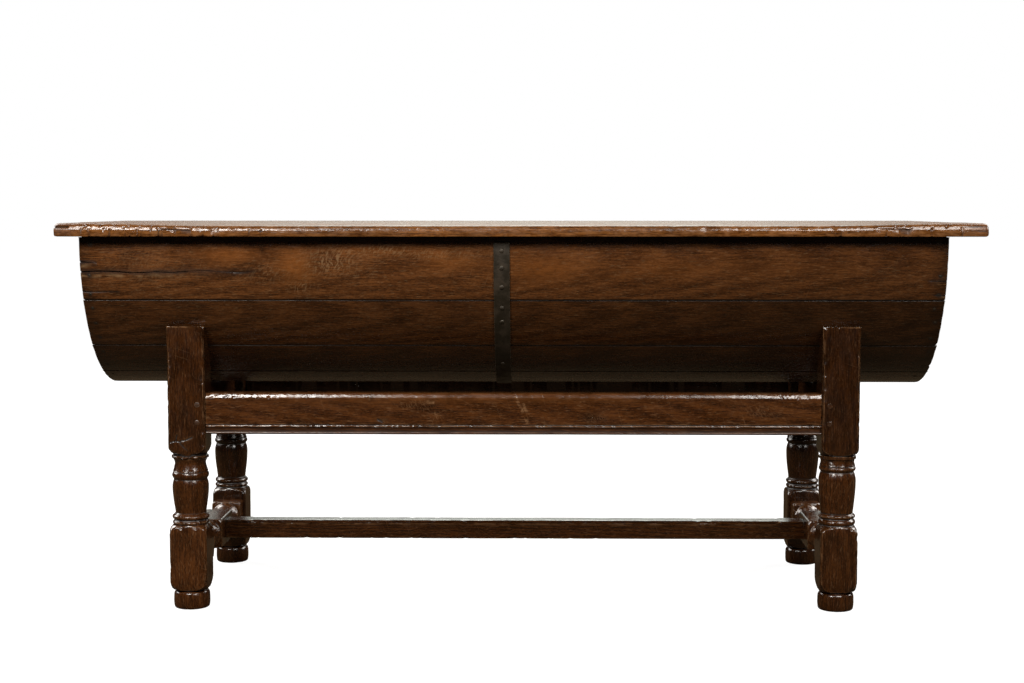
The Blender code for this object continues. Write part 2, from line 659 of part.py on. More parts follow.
def make_stretchers(stand, wood, peg_wood, legs):
    """Turned stretchers at the ends, and the long one between them."""
    blocks = {}
    for side, sign in (("left", -1), ("right", 1)):
        middle = sign * LEG_X
        place = (middle, 0, STRETCHER_AXIS)
        turned = lathe(stretcher_profile(), TURNED_SIDES)
        along_y = Matrix.Rotation(math.pi / 2, 3, "X")
        bmesh.ops.rotate(turned, cent=(0, 0, 0), matrix=along_y, verts=turned.verts)
        name = f"end_stretcher_{side}"
        stretcher = make_object(name, turned, stand, wood, place)
        shade_round(stretcher)
        bar = box((-HALF_STRETCHER, -LEG_Y, -HALF_STRETCHER), (HALF_STRETCHER, LEG_Y, HALF_STRETCHER))
        combine(stretcher, make_tool(name + "_bar", bar, stand, place), "INTERSECT")
        reach = POST_BACK - FIT
        for depth, depth_sign in (("front", -1), ("back", 1)):
            leg = legs[depth, side]
            width, height = STRETCHER_TENON
            ends = sorted((depth_sign * (reach - TENON_ROOT), depth_sign * (reach + STRETCHER_TENON_LENGTH)))
            low = (middle - width / 2, ends[0], STRETCHER_AXIS - height / 2)
            high = (middle + width / 2, ends[1], STRETCHER_AXIS + height / 2)
            add_tenon(stretcher, [leg], f"{name}_{depth}", low, high, stand)
            head = (middle + sign * HALF_LEG, depth_sign * (POST_BACK + PEG_INSET), STRETCHER_AXIS)
            length = HALF_LEG + width / 2 + PEG_PAST
            add_peg(f"peg_{name}_{depth}", head, (-sign, 0, 0), length, [leg, stretcher], stand, peg_wood)
        blocks[side] = stretcher
    make_long_stretcher(stand, wood, peg_wood, blocks)


def make_long_stretcher(stand, wood, peg_wood, blocks):
    """The long stretcher, chamfered along its upper edges, pegged from below into the end stretchers."""
    reach = LEG_X - HALF_STRETCHER - FIT
    half_width = LONG_STRETCHER_WIDTH / 2
    top = LONG_STRETCHER_AXIS + LONG_STRETCHER_HEIGHT / 2
    bottom = LONG_STRETCHER_AXIS - LONG_STRETCHER_HEIGHT / 2
    bar = box((-reach, -half_width, bottom), (reach, half_width, top))
    stretcher = make_object("long_stretcher", bar, stand, wood)
    for edge, sign in (("front", -1), ("back", 1)):
        plane = chamfer_tool(2 * (reach - CHAMFER_STOP))
        tool = make_tool(f"chamfer_{edge}", plane, stand, (0, sign * half_width, top))
        combine(stretcher, tool, "DIFFERENCE")
    for side, sign in (("left", -1), ("right", 1)):
        width, height = LONG_TENON
        ends = sorted((sign * (reach - TENON_ROOT), sign * (reach + LONG_TENON_LENGTH)))
        low = (ends[0], -width / 2, LONG_STRETCHER_AXIS - height / 2)
        high = (ends[1], width / 2, LONG_STRETCHER_AXIS + height / 2)
        block = blocks[side]
        add_tenon(stretcher, [block], f"long_stretcher_{side}", low, high, stand)
        head = (sign * (reach + FIT + PEG_INSET), 0, STRETCHER_AXIS - HALF_STRETCHER)
        length = LONG_STRETCHER_AXIS + height / 2 - head[2] + PEG_PAST
        add_peg(f"peg_long_stretcher_{side}", head, (0, 0, 1), length, [block, stretcher], stand, peg_wood)


def chamfer_tool(length):
    """A bar of diamond section whose pointed ends run a chamfer out."""
    reach = length / 2 - CHAMFER_RUNOUT
    diamond = [(CHAMFER, 0), (0, CHAMFER), (-CHAMFER, 0), (0, -CHAMFER)]
    bm = prism(diamond, -reach, reach)
    for sign in (-1, 1):
        end = [face for face in bm.faces if abs(face.calc_center_median().x - sign * reach) < FIT]
        point = bmesh.ops.poke(bm, faces=end)["verts"]
        bmesh.ops.translate(bm, vec=(sign * CHAMFER_RUNOUT, 0, 0), verts=point)
    return bm


def main():
    """Builds the table."""
    clear_scene()
    trough_wood = make_material("dark_oak_trough", (0.075, 0.032, 0.013), 0.50)
    lid_wood = make_material("dark_oak_lid", (0.140, 0.062, 0.022), 0.35)
    stand_wood = make_material("dark_oak_stand", (0.050, 0.020, 0.008), 0.38)
    peg_wood = make_material("oak_peg", (0.035, 0.015, 0.007), 0.55)
    iron = make_material("wrought_iron", (0.022, 0.016, 0.011), 0.55, metallic=0.6)
    make_stand(make_empty("stand", (MIDDLE_X, 0, 0)), stand_wood, peg_wood)
    make_trough(make_empty("trough", (MIDDLE_X, 0, RIM)), trough_wood, iron)
    make_lid(make_empty("lid", (0, 0, RIM)), lid_wood)


main()
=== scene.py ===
"""Looks of the dough bin table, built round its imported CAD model.

Metres, +Z up and the front towards -Y, in the frame of the CAD model. The worn pieces stand for the CAD
solids and ride on the same bodies: the stand, the trough and the lid.
"""

import json
import logging
import math
import random
from collections.abc import Callable, Iterable, Sequence
from dataclasses import dataclass
from enum import Enum
from itertools import product

import bmesh
import bpy
from mathutils import Matrix, Vector, geometry, kdtree, noise

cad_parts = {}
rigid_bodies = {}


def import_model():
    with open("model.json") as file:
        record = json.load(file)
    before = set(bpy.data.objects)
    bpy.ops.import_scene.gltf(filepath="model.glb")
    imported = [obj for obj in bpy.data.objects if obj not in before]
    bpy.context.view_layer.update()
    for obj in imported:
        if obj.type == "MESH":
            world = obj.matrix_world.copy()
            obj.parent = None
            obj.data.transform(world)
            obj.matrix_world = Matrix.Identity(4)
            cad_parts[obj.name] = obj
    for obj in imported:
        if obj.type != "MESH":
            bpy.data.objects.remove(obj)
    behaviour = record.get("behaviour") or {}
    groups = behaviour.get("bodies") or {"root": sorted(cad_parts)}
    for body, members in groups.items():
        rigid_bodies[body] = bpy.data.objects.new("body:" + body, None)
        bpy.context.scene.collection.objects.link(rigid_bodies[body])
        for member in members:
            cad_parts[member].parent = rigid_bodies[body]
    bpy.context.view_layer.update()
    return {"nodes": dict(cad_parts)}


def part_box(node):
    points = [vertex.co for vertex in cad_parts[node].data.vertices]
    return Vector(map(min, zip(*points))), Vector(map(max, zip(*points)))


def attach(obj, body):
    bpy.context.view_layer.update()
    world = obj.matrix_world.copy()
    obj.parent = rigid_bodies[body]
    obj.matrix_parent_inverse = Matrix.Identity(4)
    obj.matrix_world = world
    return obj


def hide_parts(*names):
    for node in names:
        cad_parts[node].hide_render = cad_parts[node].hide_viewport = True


LOG = logging.getLogger("dough_bin_table")
END_LOOPS = (0.0761, 0.2929, 0.6173, 1.0)  # where a rounded end is cut, as shares of its radius
NAIL_SIDES = 14
WAVE_SIZE = 0.045  # of the slow waves in worn wood
DENT_SIZE = 0.010
CHIP_SIZES = (0.014, 0.006)  # of what is broken off its edges
RUBBED = 0.5  # wear from which an edge can be nicked
SMALL = 1e-6  # lengths that count as none
TINY = 1e-7
SENSOR_WIDTH = 36.0  # of the camera, in millimetres

Pair = tuple[float, float]
Point = Pair
Triple = tuple[float, float, float]
Colour = Triple
Socket = bpy.types.NodeSocket
Value = Socket | float
Material = bpy.types.Material
Mesh = bmesh.types.BMesh


class Way(Enum):
    """A way that the table faces, by the sign of a coordinate."""

    @property
    def word(self) -> str:
        """What it is called in the names of pieces."""
        return self.name.lower()


class Side(Way):
    """The two ends of the table, by the sign of X."""

    LEFT = -1
    RIGHT = 1


class Depth(Way):
    """The front and the back of the table, by the sign of Y."""

    FRONT = -1
    BACK = 1


class Body(Enum):
    """The CAD bodies that pieces ride on."""

    STAND = "stand"
    TROUGH = "trough"
    LID = "lid"


class Slot(Enum):
    """The record's material slots."""

    STAND = "stand_oak"
    PEG = "peg_oak"
    TROUGH = "trough_oak"
    LID = "lid_oak"
    IRON = "iron"


class Layer(Enum):
    """Numbers kept on the points of a mesh, which its finish reads."""

    WEAR = "wear"
    # dirt, and painted shade in hollows and seams
    GRIME = "grime"
    TONE = "tone"
    WARM = "warm"
    FIGURE = "figure"


# Finishes


class Nodes:
    """The node tree of a material or of the world, with short ways to add nodes to it."""

    def __init__(self, tree: bpy.types.NodeTree) -> None:
        """Takes a tree to add nodes to."""
        self.tree = tree

    def node(self, kind: str, **settings: object) -> bpy.types.Node:
        """Adds a node and sets its own options."""
        made = self.tree.nodes.new(kind)
        for name, value in settings.items():
            setattr(made, name, value)
        return made

    def feed(self, socket: Socket, value: object) -> None:
        """Links a socket into an input, or sets the input to a plain value."""
        if isinstance(value, Socket):
            self.tree.links.new(value, socket)
        else:
            socket.default_value = value

    def maths(self, operation: str, first: Value, second: Value = 0.5, clamped: bool = False) -> Socket:
        """One step of arithmetic, on one number or two."""
        made = self.node("ShaderNodeMath", operation=operation, use_clamp=clamped)
        self.feed(made.inputs[0], first)
        self.feed(made.inputs[1], second)
        return made.outputs["Value"]

    def spread(
        self,
        value: Socket,
        low: float,
        high: float,
        to_low: float = 0.0,
        to_high: float = 1.0,
        shape: str = "SMOOTHSTEP",
    ) -> Socket:
        """Maps a number from one range to another, smoothly unless another shape is given."""
        made = self.node("ShaderNodeMapRange", interpolation_type=shape)
        names = ("Value", "From Min", "From Max", "To Min", "To Max")
        for name, given in zip(names, (value, low, high, to_low, to_high)):
            self.feed(made.inputs[name], given)
        return made.outputs["Result"]

    def mix(self, factor: Value, first: Socket, second: Socket) -> Socket:
        """Mixes two shaders by a factor."""
        made = self.node("ShaderNodeMixShader")
        for socket, value in zip(made.inputs, (factor, first, second)):
            self.feed(socket, value)
        return made.outputs[0]

    def watched(self) -> Socket:
        """1 for what the camera sees, and 0 for what only lights the table."""
        path = self.node("ShaderNodeLightPath")
        return self.maths("MAXIMUM", path.outputs["Is Camera Ray"], path.outputs["Is Transmission Ray"])


class Recipe(Nodes):
    """A material in the making, with ways to add what its finish needs."""

    def __init__(self, name: str) -> None:
        """Starts a material of that name from a Principled shader."""
        self.material = bpy.data.materials.new(name)
        self.material.use_nodes = True
        super().__init__(self.material.node_tree)
        self.shader = self.tree.nodes["Principled BSDF"]

    def layer(self, layer: Layer) -> Socket:
        """The number that a mesh layer holds."""
        return self.node("ShaderNodeAttribute", attribute_name=layer.value).outputs["Fac"]

    def grain(self) -> Socket:
        """The place in the wood: along the grain, then across it from the heart of the tree."""
        return self.node("ShaderNodeAttribute", attribute_name="grain").outputs["Vector"]

    def vector(self, operation: str, first: object, second: object = None, third: object = None) -> Socket:
        """One step of arithmetic, on up to three vectors."""
        made = self.node("ShaderNodeVectorMath", operation=operation)
        for socket, value in zip(made.inputs, (first, second, third)):
            if value is not None:
                self.feed(socket, value)
        return made.outputs["Vector"]

    def length(self, vector: Socket) -> Socket:
        """The length of a vector."""
        made = self.node("ShaderNodeVectorMath", operation="LENGTH")
        self.feed(made.inputs[0], vector)
        return made.outputs["Value"]

    def noise(
        self,
        vector: Socket,
        scale: Triple,
        detail: float = 3.0,
        roughness: float = 0.55,
        output: str = "Fac",
    ) -> Socket:
        """A noise drawn out by a scale along each direction.

        Args:
            vector: The place in the wood.
            scale: Features to the metre along each direction.
            detail: How many finer layers it has.
            roughness: How strong the finer layers are.
            output: Fac for a number, or Color for three.

        Returns:
            The noise.
        """
        made = self.node("ShaderNodeTexNoise")
        self.feed(made.inputs["Vector"], self.vector("MULTIPLY", vector, scale))
        made.inputs["Scale"].default_value = 1.0
        made.inputs["Detail"].default_value = detail
        made.inputs["Roughness"].default_value = roughness
        return made.outputs[output]

    def blend(self, factor: Value, first: object, second: object, mode: str = "MIX") -> Socket:
        """Mixes two colours by a factor."""
        made = self.node("ShaderNodeMix", data_type="RGBA", blend_type=mode)
        for index, value in ((0, factor), (6, first), (7, second)):
            if isinstance(value, tuple):
                value = (*value, 1.0)
            self.feed(made.inputs[index], value)
        return made.outputs[2]

    def ramp(self, value: Socket, stops: Sequence[tuple[float, Colour]]) -> Socket:
        """Runs a number through colours at given stops."""
        made = self.node("ShaderNodeValToRGB")
        self.feed(made.inputs["Fac"], value)
        elements = made.color_ramp.elements
        while len(elements) < len(stops):
            elements.new(0.5)
        for element, (place, colour) in zip(elements, stops):
            element.position = place
            element.color = (*colour, 1.0)
        return made.outputs["Color"]

    def turned(self, vector: Socket, angle: float) -> Socket:
        """A vector turned about Z."""
        made = self.node("ShaderNodeVectorRotate", rotation_type="Z_AXIS")
        self.feed(made.inputs["Vector"], vector)
        made.inputs["Angle"].default_value = angle
        return made.outputs["Vector"]

    def diffuse(self, colour: Colour) -> Socket:
        """A plain matt shader."""
        made = self.node("ShaderNodeBsdfDiffuse")
        made.inputs["Color"].default_value = (*colour, 1.0)
        return made.outputs[0]

    def bump(self, height: Socket, strength: float, distance: float, under: Socket | None = None) -> Socket:
        """Raises a surface by a height, over another bump where one is given."""
        made = self.node("ShaderNodeBump")
        made.inputs["Strength"].default_value = strength
        made.inputs["Distance"].default_value = distance
        self.feed(made.inputs["Height"], height)
        if under is not None:
            self.feed(made.inputs["Normal"], under)
        return made.outputs["Normal"]


@dataclass(frozen=True)
class Figure:
    """What shows in a sawn and waxed face: each a number from 0 to 1 over the wood."""

    rings: Socket
    fibres: Socket
    streaks: Socket
    blotches: Socket
    specks: Socket
    flecks: Socket
    pores: Socket
    scratches: Socket
    mottle: Socket
    chatter: Socket


@dataclass(frozen=True)
class WoodFinish:
    """Old oiled and waxed wood, with growth rings, fibres, pores, scratches, rubbed edges, and grime that
    also paints shade into hollows.
    """

    name: str
    dark: Colour
    brown: Colour
    light: Colour
    warm: Colour
    rubbed: Colour
    # dark colour of dirt, also painted as shade into hollows and seams
    grime: Colour = (0.0030, 0.0018, 0.0011)
    ring_spacing: float = 0.0060
    gloss: Pair = (0.24, 0.42)  # roughness of polished and of dull places
    relief: float = 1.0
    mirror: float = 0.5  # specular level
    polish: float = 0.07  # how much smoother rubbed places are
    dullness: float = 0.42  # how much rougher grimy places are

    def make(self) -> Material:
        """Builds the material.

        Returns:
            A material that reads the grain and the layers of a piece.
        """
        recipe = Recipe(self.name)
        grain = recipe.grain()
        figure = self.find_figure(recipe, grain)
        colour = self.add_colour(recipe, figure)
        colour = self.add_patches(recipe, grain, colour, figure)
        colour = self.add_age(recipe, colour, figure)
        recipe.feed(recipe.shader.inputs["Base Color"], colour)
        self.add_surface(recipe, figure)
        recipe.shader.inputs["Specular IOR Level"].default_value = self.mirror
        return recipe.material

    def find_figure(self, recipe: Recipe, grain: Socket) -> Figure:
        """Lays out the rings, fibres, flecks, pores and marks of the wood.

        Args:
            recipe: The material's nodes.
            grain: The place in the wood.

        Returns:
            The figure, all of it drawn out along the grain except the marks.
        """
        slow = recipe.noise(grain, (1.6, 7.0, 7.0), detail=2.0, output="Color")
        bent = recipe.vector("MULTIPLY_ADD", slow, (0.0, 0.022, 0.022), grain)
        flecks = recipe.noise(bent, (70.0, 430.0, 430.0), detail=2.0, roughness=0.6)
        pores = recipe.noise(bent, (55.0, 900.0, 900.0), detail=1.0)
        return Figure(
            rings=self.add_rings(recipe, bent),
            fibres=recipe.noise(bent, (30.0, 430.0, 430.0), detail=4.0, roughness=0.68),
            streaks=recipe.noise(bent, (6.0, 105.0, 105.0), detail=3.0, roughness=0.6),
            blotches=recipe.noise(grain, (7.0, 20.0, 20.0), detail=4.0, roughness=0.62),
            specks=recipe.noise(bent, (150.0, 420.0, 420.0), detail=3.0, roughness=0.7),
            flecks=recipe.spread(flecks, 0.58, 0.70),
            pores=recipe.spread(pores, 0.57, 0.72),
            scratches=self.add_scratches(recipe, grain),
            mottle=recipe.noise(grain, (45.0, 85.0, 85.0), detail=3.0, roughness=0.6),
            chatter=recipe.noise(grain, (150.0, 210.0, 210.0), detail=2.0, roughness=0.5),
        )

    def add_rings(self, recipe: Recipe, bent: Socket) -> Socket:
        """Growth rings about the heart of the tree, which arch where the grain rises to the surface."""
        reach = recipe.length(recipe.vector("MULTIPLY", bent, (0.050, 1.0, 1.0)))
        turns = recipe.maths("MULTIPLY", reach, math.tau / self.ring_spacing)
        return recipe.spread(recipe.maths("SINE", turns), -1.0, 1.0)

    def add_scratches(self, recipe: Recipe, grain: Socket) -> Socket:
        """Thin scratches across the grain, in three directions."""
        total: Value = 0.0
        for number, turn in enumerate((0.55, -0.40, 1.25)):
            moved = recipe.vector("ADD", grain, (3.7 * number, 1.9 * number, 0.0))
            lines = recipe.noise(recipe.turned(moved, turn), (16.0, 620.0, 40.0), detail=1.0)
            total = recipe.maths("ADD", total, recipe.spread(lines, 0.70, 0.78))
        return recipe.maths("MINIMUM", total, 1.0)

    def add_colour(self, recipe: Recipe, figure: Figure) -> Socket:
        """The wood's own colour from its rings, fibres, specks, streaks, blotches and flecks."""
        shade = recipe.maths("MULTIPLY", figure.rings, 0.05)
        for part, share in (
            (figure.fibres, 0.44),
            (figure.specks, 0.28),
            (figure.streaks, 0.11),
            (figure.blotches, 0.12),
        ):
            shade = recipe.maths("ADD", shade, recipe.maths("MULTIPLY", part, share))
        colour = recipe.ramp(shade, [(0.41, self.dark), (0.50, self.brown), (0.59, self.light)])
        for part, share, over in (
            (figure.flecks, 0.30, self.rubbed),
            (figure.scratches, 0.22, self.rubbed),
            (figure.pores, 0.60, self.dark),
        ):
            colour = recipe.blend(recipe.maths("MULTIPLY", part, share), colour, over)
        return colour

    def add_patches(self, recipe: Recipe, grain: Socket, colour: Socket, figure: Figure) -> Socket:
        """Warmer patches, and curly pale flecks where the mesh asks for them."""
        uneven = recipe.spread(figure.mottle, 0.30, 0.62, 0.45, 1.0)
        patchy = recipe.maths("MULTIPLY", recipe.layer(Layer.WARM), uneven)
        colour = recipe.blend(patchy, colour, self.warm)
        curl = recipe.noise(grain, (16.0, 22.0, 22.0), detail=2.0, output="Color")
        twisted = recipe.vector("MULTIPLY_ADD", curl, (0.030, 0.030, 0.0), grain)
        strokes = recipe.noise(recipe.turned(twisted, 1.0), (120.0, 460.0, 60.0), detail=2.0, roughness=0.6)
        lines = recipe.spread(strokes, 0.50, 0.62)
        flecks = recipe.maths("MULTIPLY", lines, recipe.layer(Layer.FIGURE), clamped=True)
        colour = recipe.blend(flecks, colour, self.rubbed)
        return recipe.blend(1.0, colour, recipe.layer(Layer.TONE), "MULTIPLY")

    def add_age(self, recipe: Recipe, colour: Socket, figure: Figure) -> Socket:
        """Rubbed edges, broken up, and dark grime that also paints shade into hollows and seams."""
        broken = recipe.maths("ADD", figure.mottle, recipe.maths("MULTIPLY", figure.fibres, 0.5))
        worn = recipe.maths("MULTIPLY", recipe.layer(Layer.WEAR), recipe.spread(broken, 0.62, 0.92))
        colour = recipe.blend(recipe.maths("MULTIPLY", worn, 0.75), colour, self.rubbed)
        return recipe.blend(recipe.layer(Layer.GRIME), colour, self.grime)

    def add_surface(self, recipe: Recipe, figure: Figure) -> None:
        """Gloss that varies with the wax, and the relief of grain, scratches and small dents."""
        waxed = recipe.spread(recipe.maths("ADD", figure.mottle, figure.blotches), 0.75, 1.25, *self.gloss)
        dull = recipe.maths("MULTIPLY", recipe.layer(Layer.GRIME), self.dullness)
        polished = recipe.maths("MULTIPLY", recipe.layer(Layer.WEAR), -self.polish)
        rough = recipe.maths("ADD", recipe.maths("ADD", waxed, dull), polished, clamped=True)
        recipe.feed(recipe.shader.inputs["Roughness"], rough)
        raised = recipe.maths("MULTIPLY", figure.rings, 0.20)
        for operation, part, share in (
            ("ADD", figure.fibres, 0.70),
            ("SUBTRACT", figure.pores, 0.45),
            ("SUBTRACT", figure.scratches, 0.40),
        ):
            raised = recipe.maths(operation, raised, recipe.maths("MULTIPLY", part, share))
        dents = recipe.bump(figure.mottle, strength=0.60, distance=0.0022 * self.relief)
        rubbed = recipe.maths("ADD", recipe.maths("MULTIPLY", recipe.layer(Layer.WEAR), 1.5), 0.6)
        chipped = recipe.maths("MULTIPLY", figure.chatter, rubbed)
        chips = recipe.bump(chipped, strength=0.60, distance=0.0010 * self.relief, under=dents)
        fine = recipe.bump(raised, strength=0.50, distance=0.0002, under=chips)
        recipe.feed(recipe.shader.inputs["Normal"], fine)


@dataclass(frozen=True)
class IronFinish:
    """Old hammered iron, nearly black, with brown rust."""

    name: str
    black: Colour = (0.0170, 0.0125, 0.0068)
    rust: Colour = (0.0290, 0.0185, 0.0088)
    bright: Colour = (0.0950, 0.0780, 0.0560)
    metal: float = 0.30

    def make(self) -> Material:
        """Builds the material."""
        recipe = Recipe(self.name)
        place = recipe.node("ShaderNodeTexCoord").outputs["Object"]
        rusty = recipe.noise(place, (42.0, 42.0, 42.0), detail=5.0, roughness=0.65)
        pitted = recipe.noise(place, (300.0, 300.0, 300.0), detail=3.0, roughness=0.6)
        colour = recipe.blend(recipe.spread(rusty, 0.42, 0.66), self.black, self.rust)
        worn = recipe.maths("MULTIPLY", recipe.layer(Layer.WEAR), recipe.spread(pitted, 0.35, 0.60))
        colour = recipe.blend(recipe.maths("MULTIPLY", worn, 0.7), colour, self.bright)
        recipe.feed(recipe.shader.inputs["Base Color"], colour)
        recipe.feed(recipe.shader.inputs["Roughness"], recipe.spread(rusty, 0.35, 0.70, 0.42, 0.70))
        recipe.shader.inputs["Metallic"].default_value = self.metal
        hammered = recipe.bump(rusty, strength=0.5, distance=0.0020)
        pits = recipe.bump(pitted, strength=0.4, distance=0.0005, under=hammered)
        recipe.feed(recipe.shader.inputs["Normal"], pits)
        return recipe.material


# Mesh work that the sub-assemblies share


def clamp(value: float, low: float, high: float) -> float:
    """Holds a number between two others."""
    return min(high, max(low, value))


def smooth_step(value: float, low: float, high: float) -> float:
    """Rises smoothly from 0 at low to 1 at high."""
    share = clamp((value - low) / (high - low), 0.0, 1.0)
    return share * share * (3 - 2 * share)


def wobble(point: Vector, size: float, seed: float) -> float:
    """A smooth random number from about -1 to 1, with features of a given size."""
    x, y, z = point
    return noise.noise(Vector((x / size + seed, y / size - 1.7 * seed, z / size + 0.6 * seed)))


def steps_between(start: float, end: float, count: int) -> list[float]:
    """Evenly spaced numbers from start to end, both included."""
    return [start + (end - start) * i / count for i in range(count + 1)]


def quarter_round(radius: float, count: int = 3) -> list[Point]:
    """Points of a rounded corner, as how far across and how deep each one lies."""
    turns = steps_between(0, math.pi / 2, count)
    return [(radius * (1 - math.cos(t)), radius * (1 - math.sin(t))) for t in turns]


def stations(start: float, end: float, steps: int, rims: Sequence[float]) -> list[float]:
    """Places along a bar where it has a ring of points, closer together at its rounded ends.

    Args:
        start: Where the bar starts.
        end: Where it ends.
        steps: Even steps between.
        rims: Radii that are rounded off at its ends.

    Returns:
        The places, in order.
    """
    close = [rim * share for rim in rims for share in END_LOOPS]
    even = steps_between(start, end, steps)
    places = [place for place in even if min(place - start, end - place) > max(close)]
    for rim in close:
        places += [start + rim, end - rim]
    return sorted({start, end, *places})


def draw_bar(outline: Sequence[Point], places: Sequence[float], rim: float) -> Mesh:
    """Wraps a grid into a bar along X and closes its ends, with their rims rounded.

    Args:
        outline: Corners (y, z) of the section.
        places: Where the bar has its rings of points along X.
        rim: Radius of the rounded rims.

    Returns:
        The bar's mesh, its faces pointing out.
    """
    bm = bmesh.new()
    steps = len(places) - 1
    count = len(outline)
    bmesh.ops.create_grid(bm, x_segments=steps, y_segments=count, size=0.5)
    for vert in bm.verts:
        place = places[round((vert.co.x + 0.5) * steps)]
        vert.co = (place, *outline[round((vert.co.y + 0.5) * count) % count])
    bmesh.ops.remove_doubles(bm, verts=bm.verts, dist=TINY)
    bmesh.ops.holes_fill(bm, edges=[edge for edge in bm.edges if edge.is_boundary], sides=0)
    face_out(bm)
    for vert in bm.verts:
        near = min(vert.co.x - places[0], places[-1] - vert.co.x)
        if near < rim:
            inward = Vector((0, vert.normal.y, vert.normal.z)).normalized()
            vert.co -= inward * end_inset(near, rim)
    return bm


def round_bar(outline: Sequence[Point], reach: Sequence[float], steps: int, rim: float) -> Mesh:
    """A bar between two places along X, with rings of points at even steps and its rims rounded."""
    return draw_bar(outline, stations(*reach, steps, [rim]), rim)


def end_inset(near: float, radius: float) -> float:
    """How far a rounded end lies in from the full section, at a distance from the end."""
    return radius - math.sqrt(max(0.0, radius**2 - (radius - near) ** 2))


def face_out(bm: Mesh) -> None:
    """Turns the faces of a closed mesh outwards."""
    bmesh.ops.recalc_face_normals(bm, faces=bm.faces)
    if bm.calc_volume(signed=True) < 0:
        bmesh.ops.reverse_faces(bm, faces=bm.faces)
    bm.normal_update()


def turn_on_lathe(profile: Sequence[Point], sides: int) -> Mesh:
    """Turns a profile about Z, with a flat towards each diagonal.

    Args:
        profile: Points (radius, height), closed on the axis at both ends.
        sides: Flats round the piece.

    Returns:
        The turned mesh, its faces pointing out.
    """
    bm = bmesh.new()
    verts = [bm.verts.new((radius, 0, height)) for radius, height in profile]
    edges = [bm.edges.new(pair) for pair in zip(verts, verts[1:])]
    bmesh.ops.spin(
        bm,
        geom=verts + edges,
        cent=(0, 0, 0),
        axis=(0, 0, 1),
        angle=math.tau,
        steps=sides,
        use_merge=True,
    )
    bmesh.ops.remove_doubles(bm, verts=bm.verts, dist=SMALL)
    bmesh.ops.rotate(bm, cent=(0, 0, 0), matrix=Matrix.Rotation(math.pi / sides, 3, "Z"), verts=bm.verts)
    face_out(bm)
    return bm


def draw_curve(low: float, high: float, steps: int, radius_at: Callable[[float], float]) -> list[Point]:
    """Points (radius, height) of a turned part, by its radius at each share of the way up."""
    return [(radius_at(t), low + (high - low) * t) for t in steps_between(0, 1, steps)]


def bead_curve(low: float, high: float, edge: float, crest: float, steps: int = 8) -> list[Point]:
    """A rounded ring, or a hollow where the crest is narrower than the edge."""
    return draw_curve(low, high, steps, lambda t: edge + (crest - edge) * math.sin(math.pi * t) ** 0.8)


def shoulder_curve(low: float, high: float, low_radius: float, high_radius: float) -> list[Point]:
    """A quarter round between a squared block and a turned part."""

    def radius_at(t: float) -> float:
        """The radius a share of the way up."""
        rising = math.sqrt(max(0.0, 1 - (1 - t) ** 2))
        falling = 1 - math.sqrt(max(0.0, 1 - t**2))
        turned = rising if high_radius > low_radius else falling
        return low_radius + (high_radius - low_radius) * turned

    return draw_curve(low, high, 9, radius_at)


def square_up(bm: Mesh, half: float) -> None:
    """Planes a turned piece down to a square bar wherever it is wider than the bar."""
    for vert in bm.verts:
        vert.co.x = clamp(vert.co.x, -half, half)
        vert.co.y = clamp(vert.co.y, -half, half)


def make_nail(radius: float, height: float, stub: Sequence[Point], steps: int) -> Mesh:
    """A domed nail head on the floor, above the outline of a short stub."""
    turns = steps_between(0, math.pi / 2, steps)
    dome = [(radius * math.cos(t), height * math.sin(t)) for t in turns]
    return turn_on_lathe([*stub, *dome[:-1], (0, height)], NAIL_SIDES)


@dataclass(frozen=True)
class Spot:
    """A soft spot in a layer, on the front of a piece."""

    layer: Layer
    x: float
    z: float
    wide: float
    high: float
    amount: float


@dataclass(frozen=True)
class Scratch:
    """A scratch or crack across the front of a piece."""

    line: tuple[Point, ...]  # the (x, z) of the points that it runs through
    width: float
    depth: float
    pale: float  # how rubbed its lips are
    dark: float = 1.4  # how much dirt lies in it


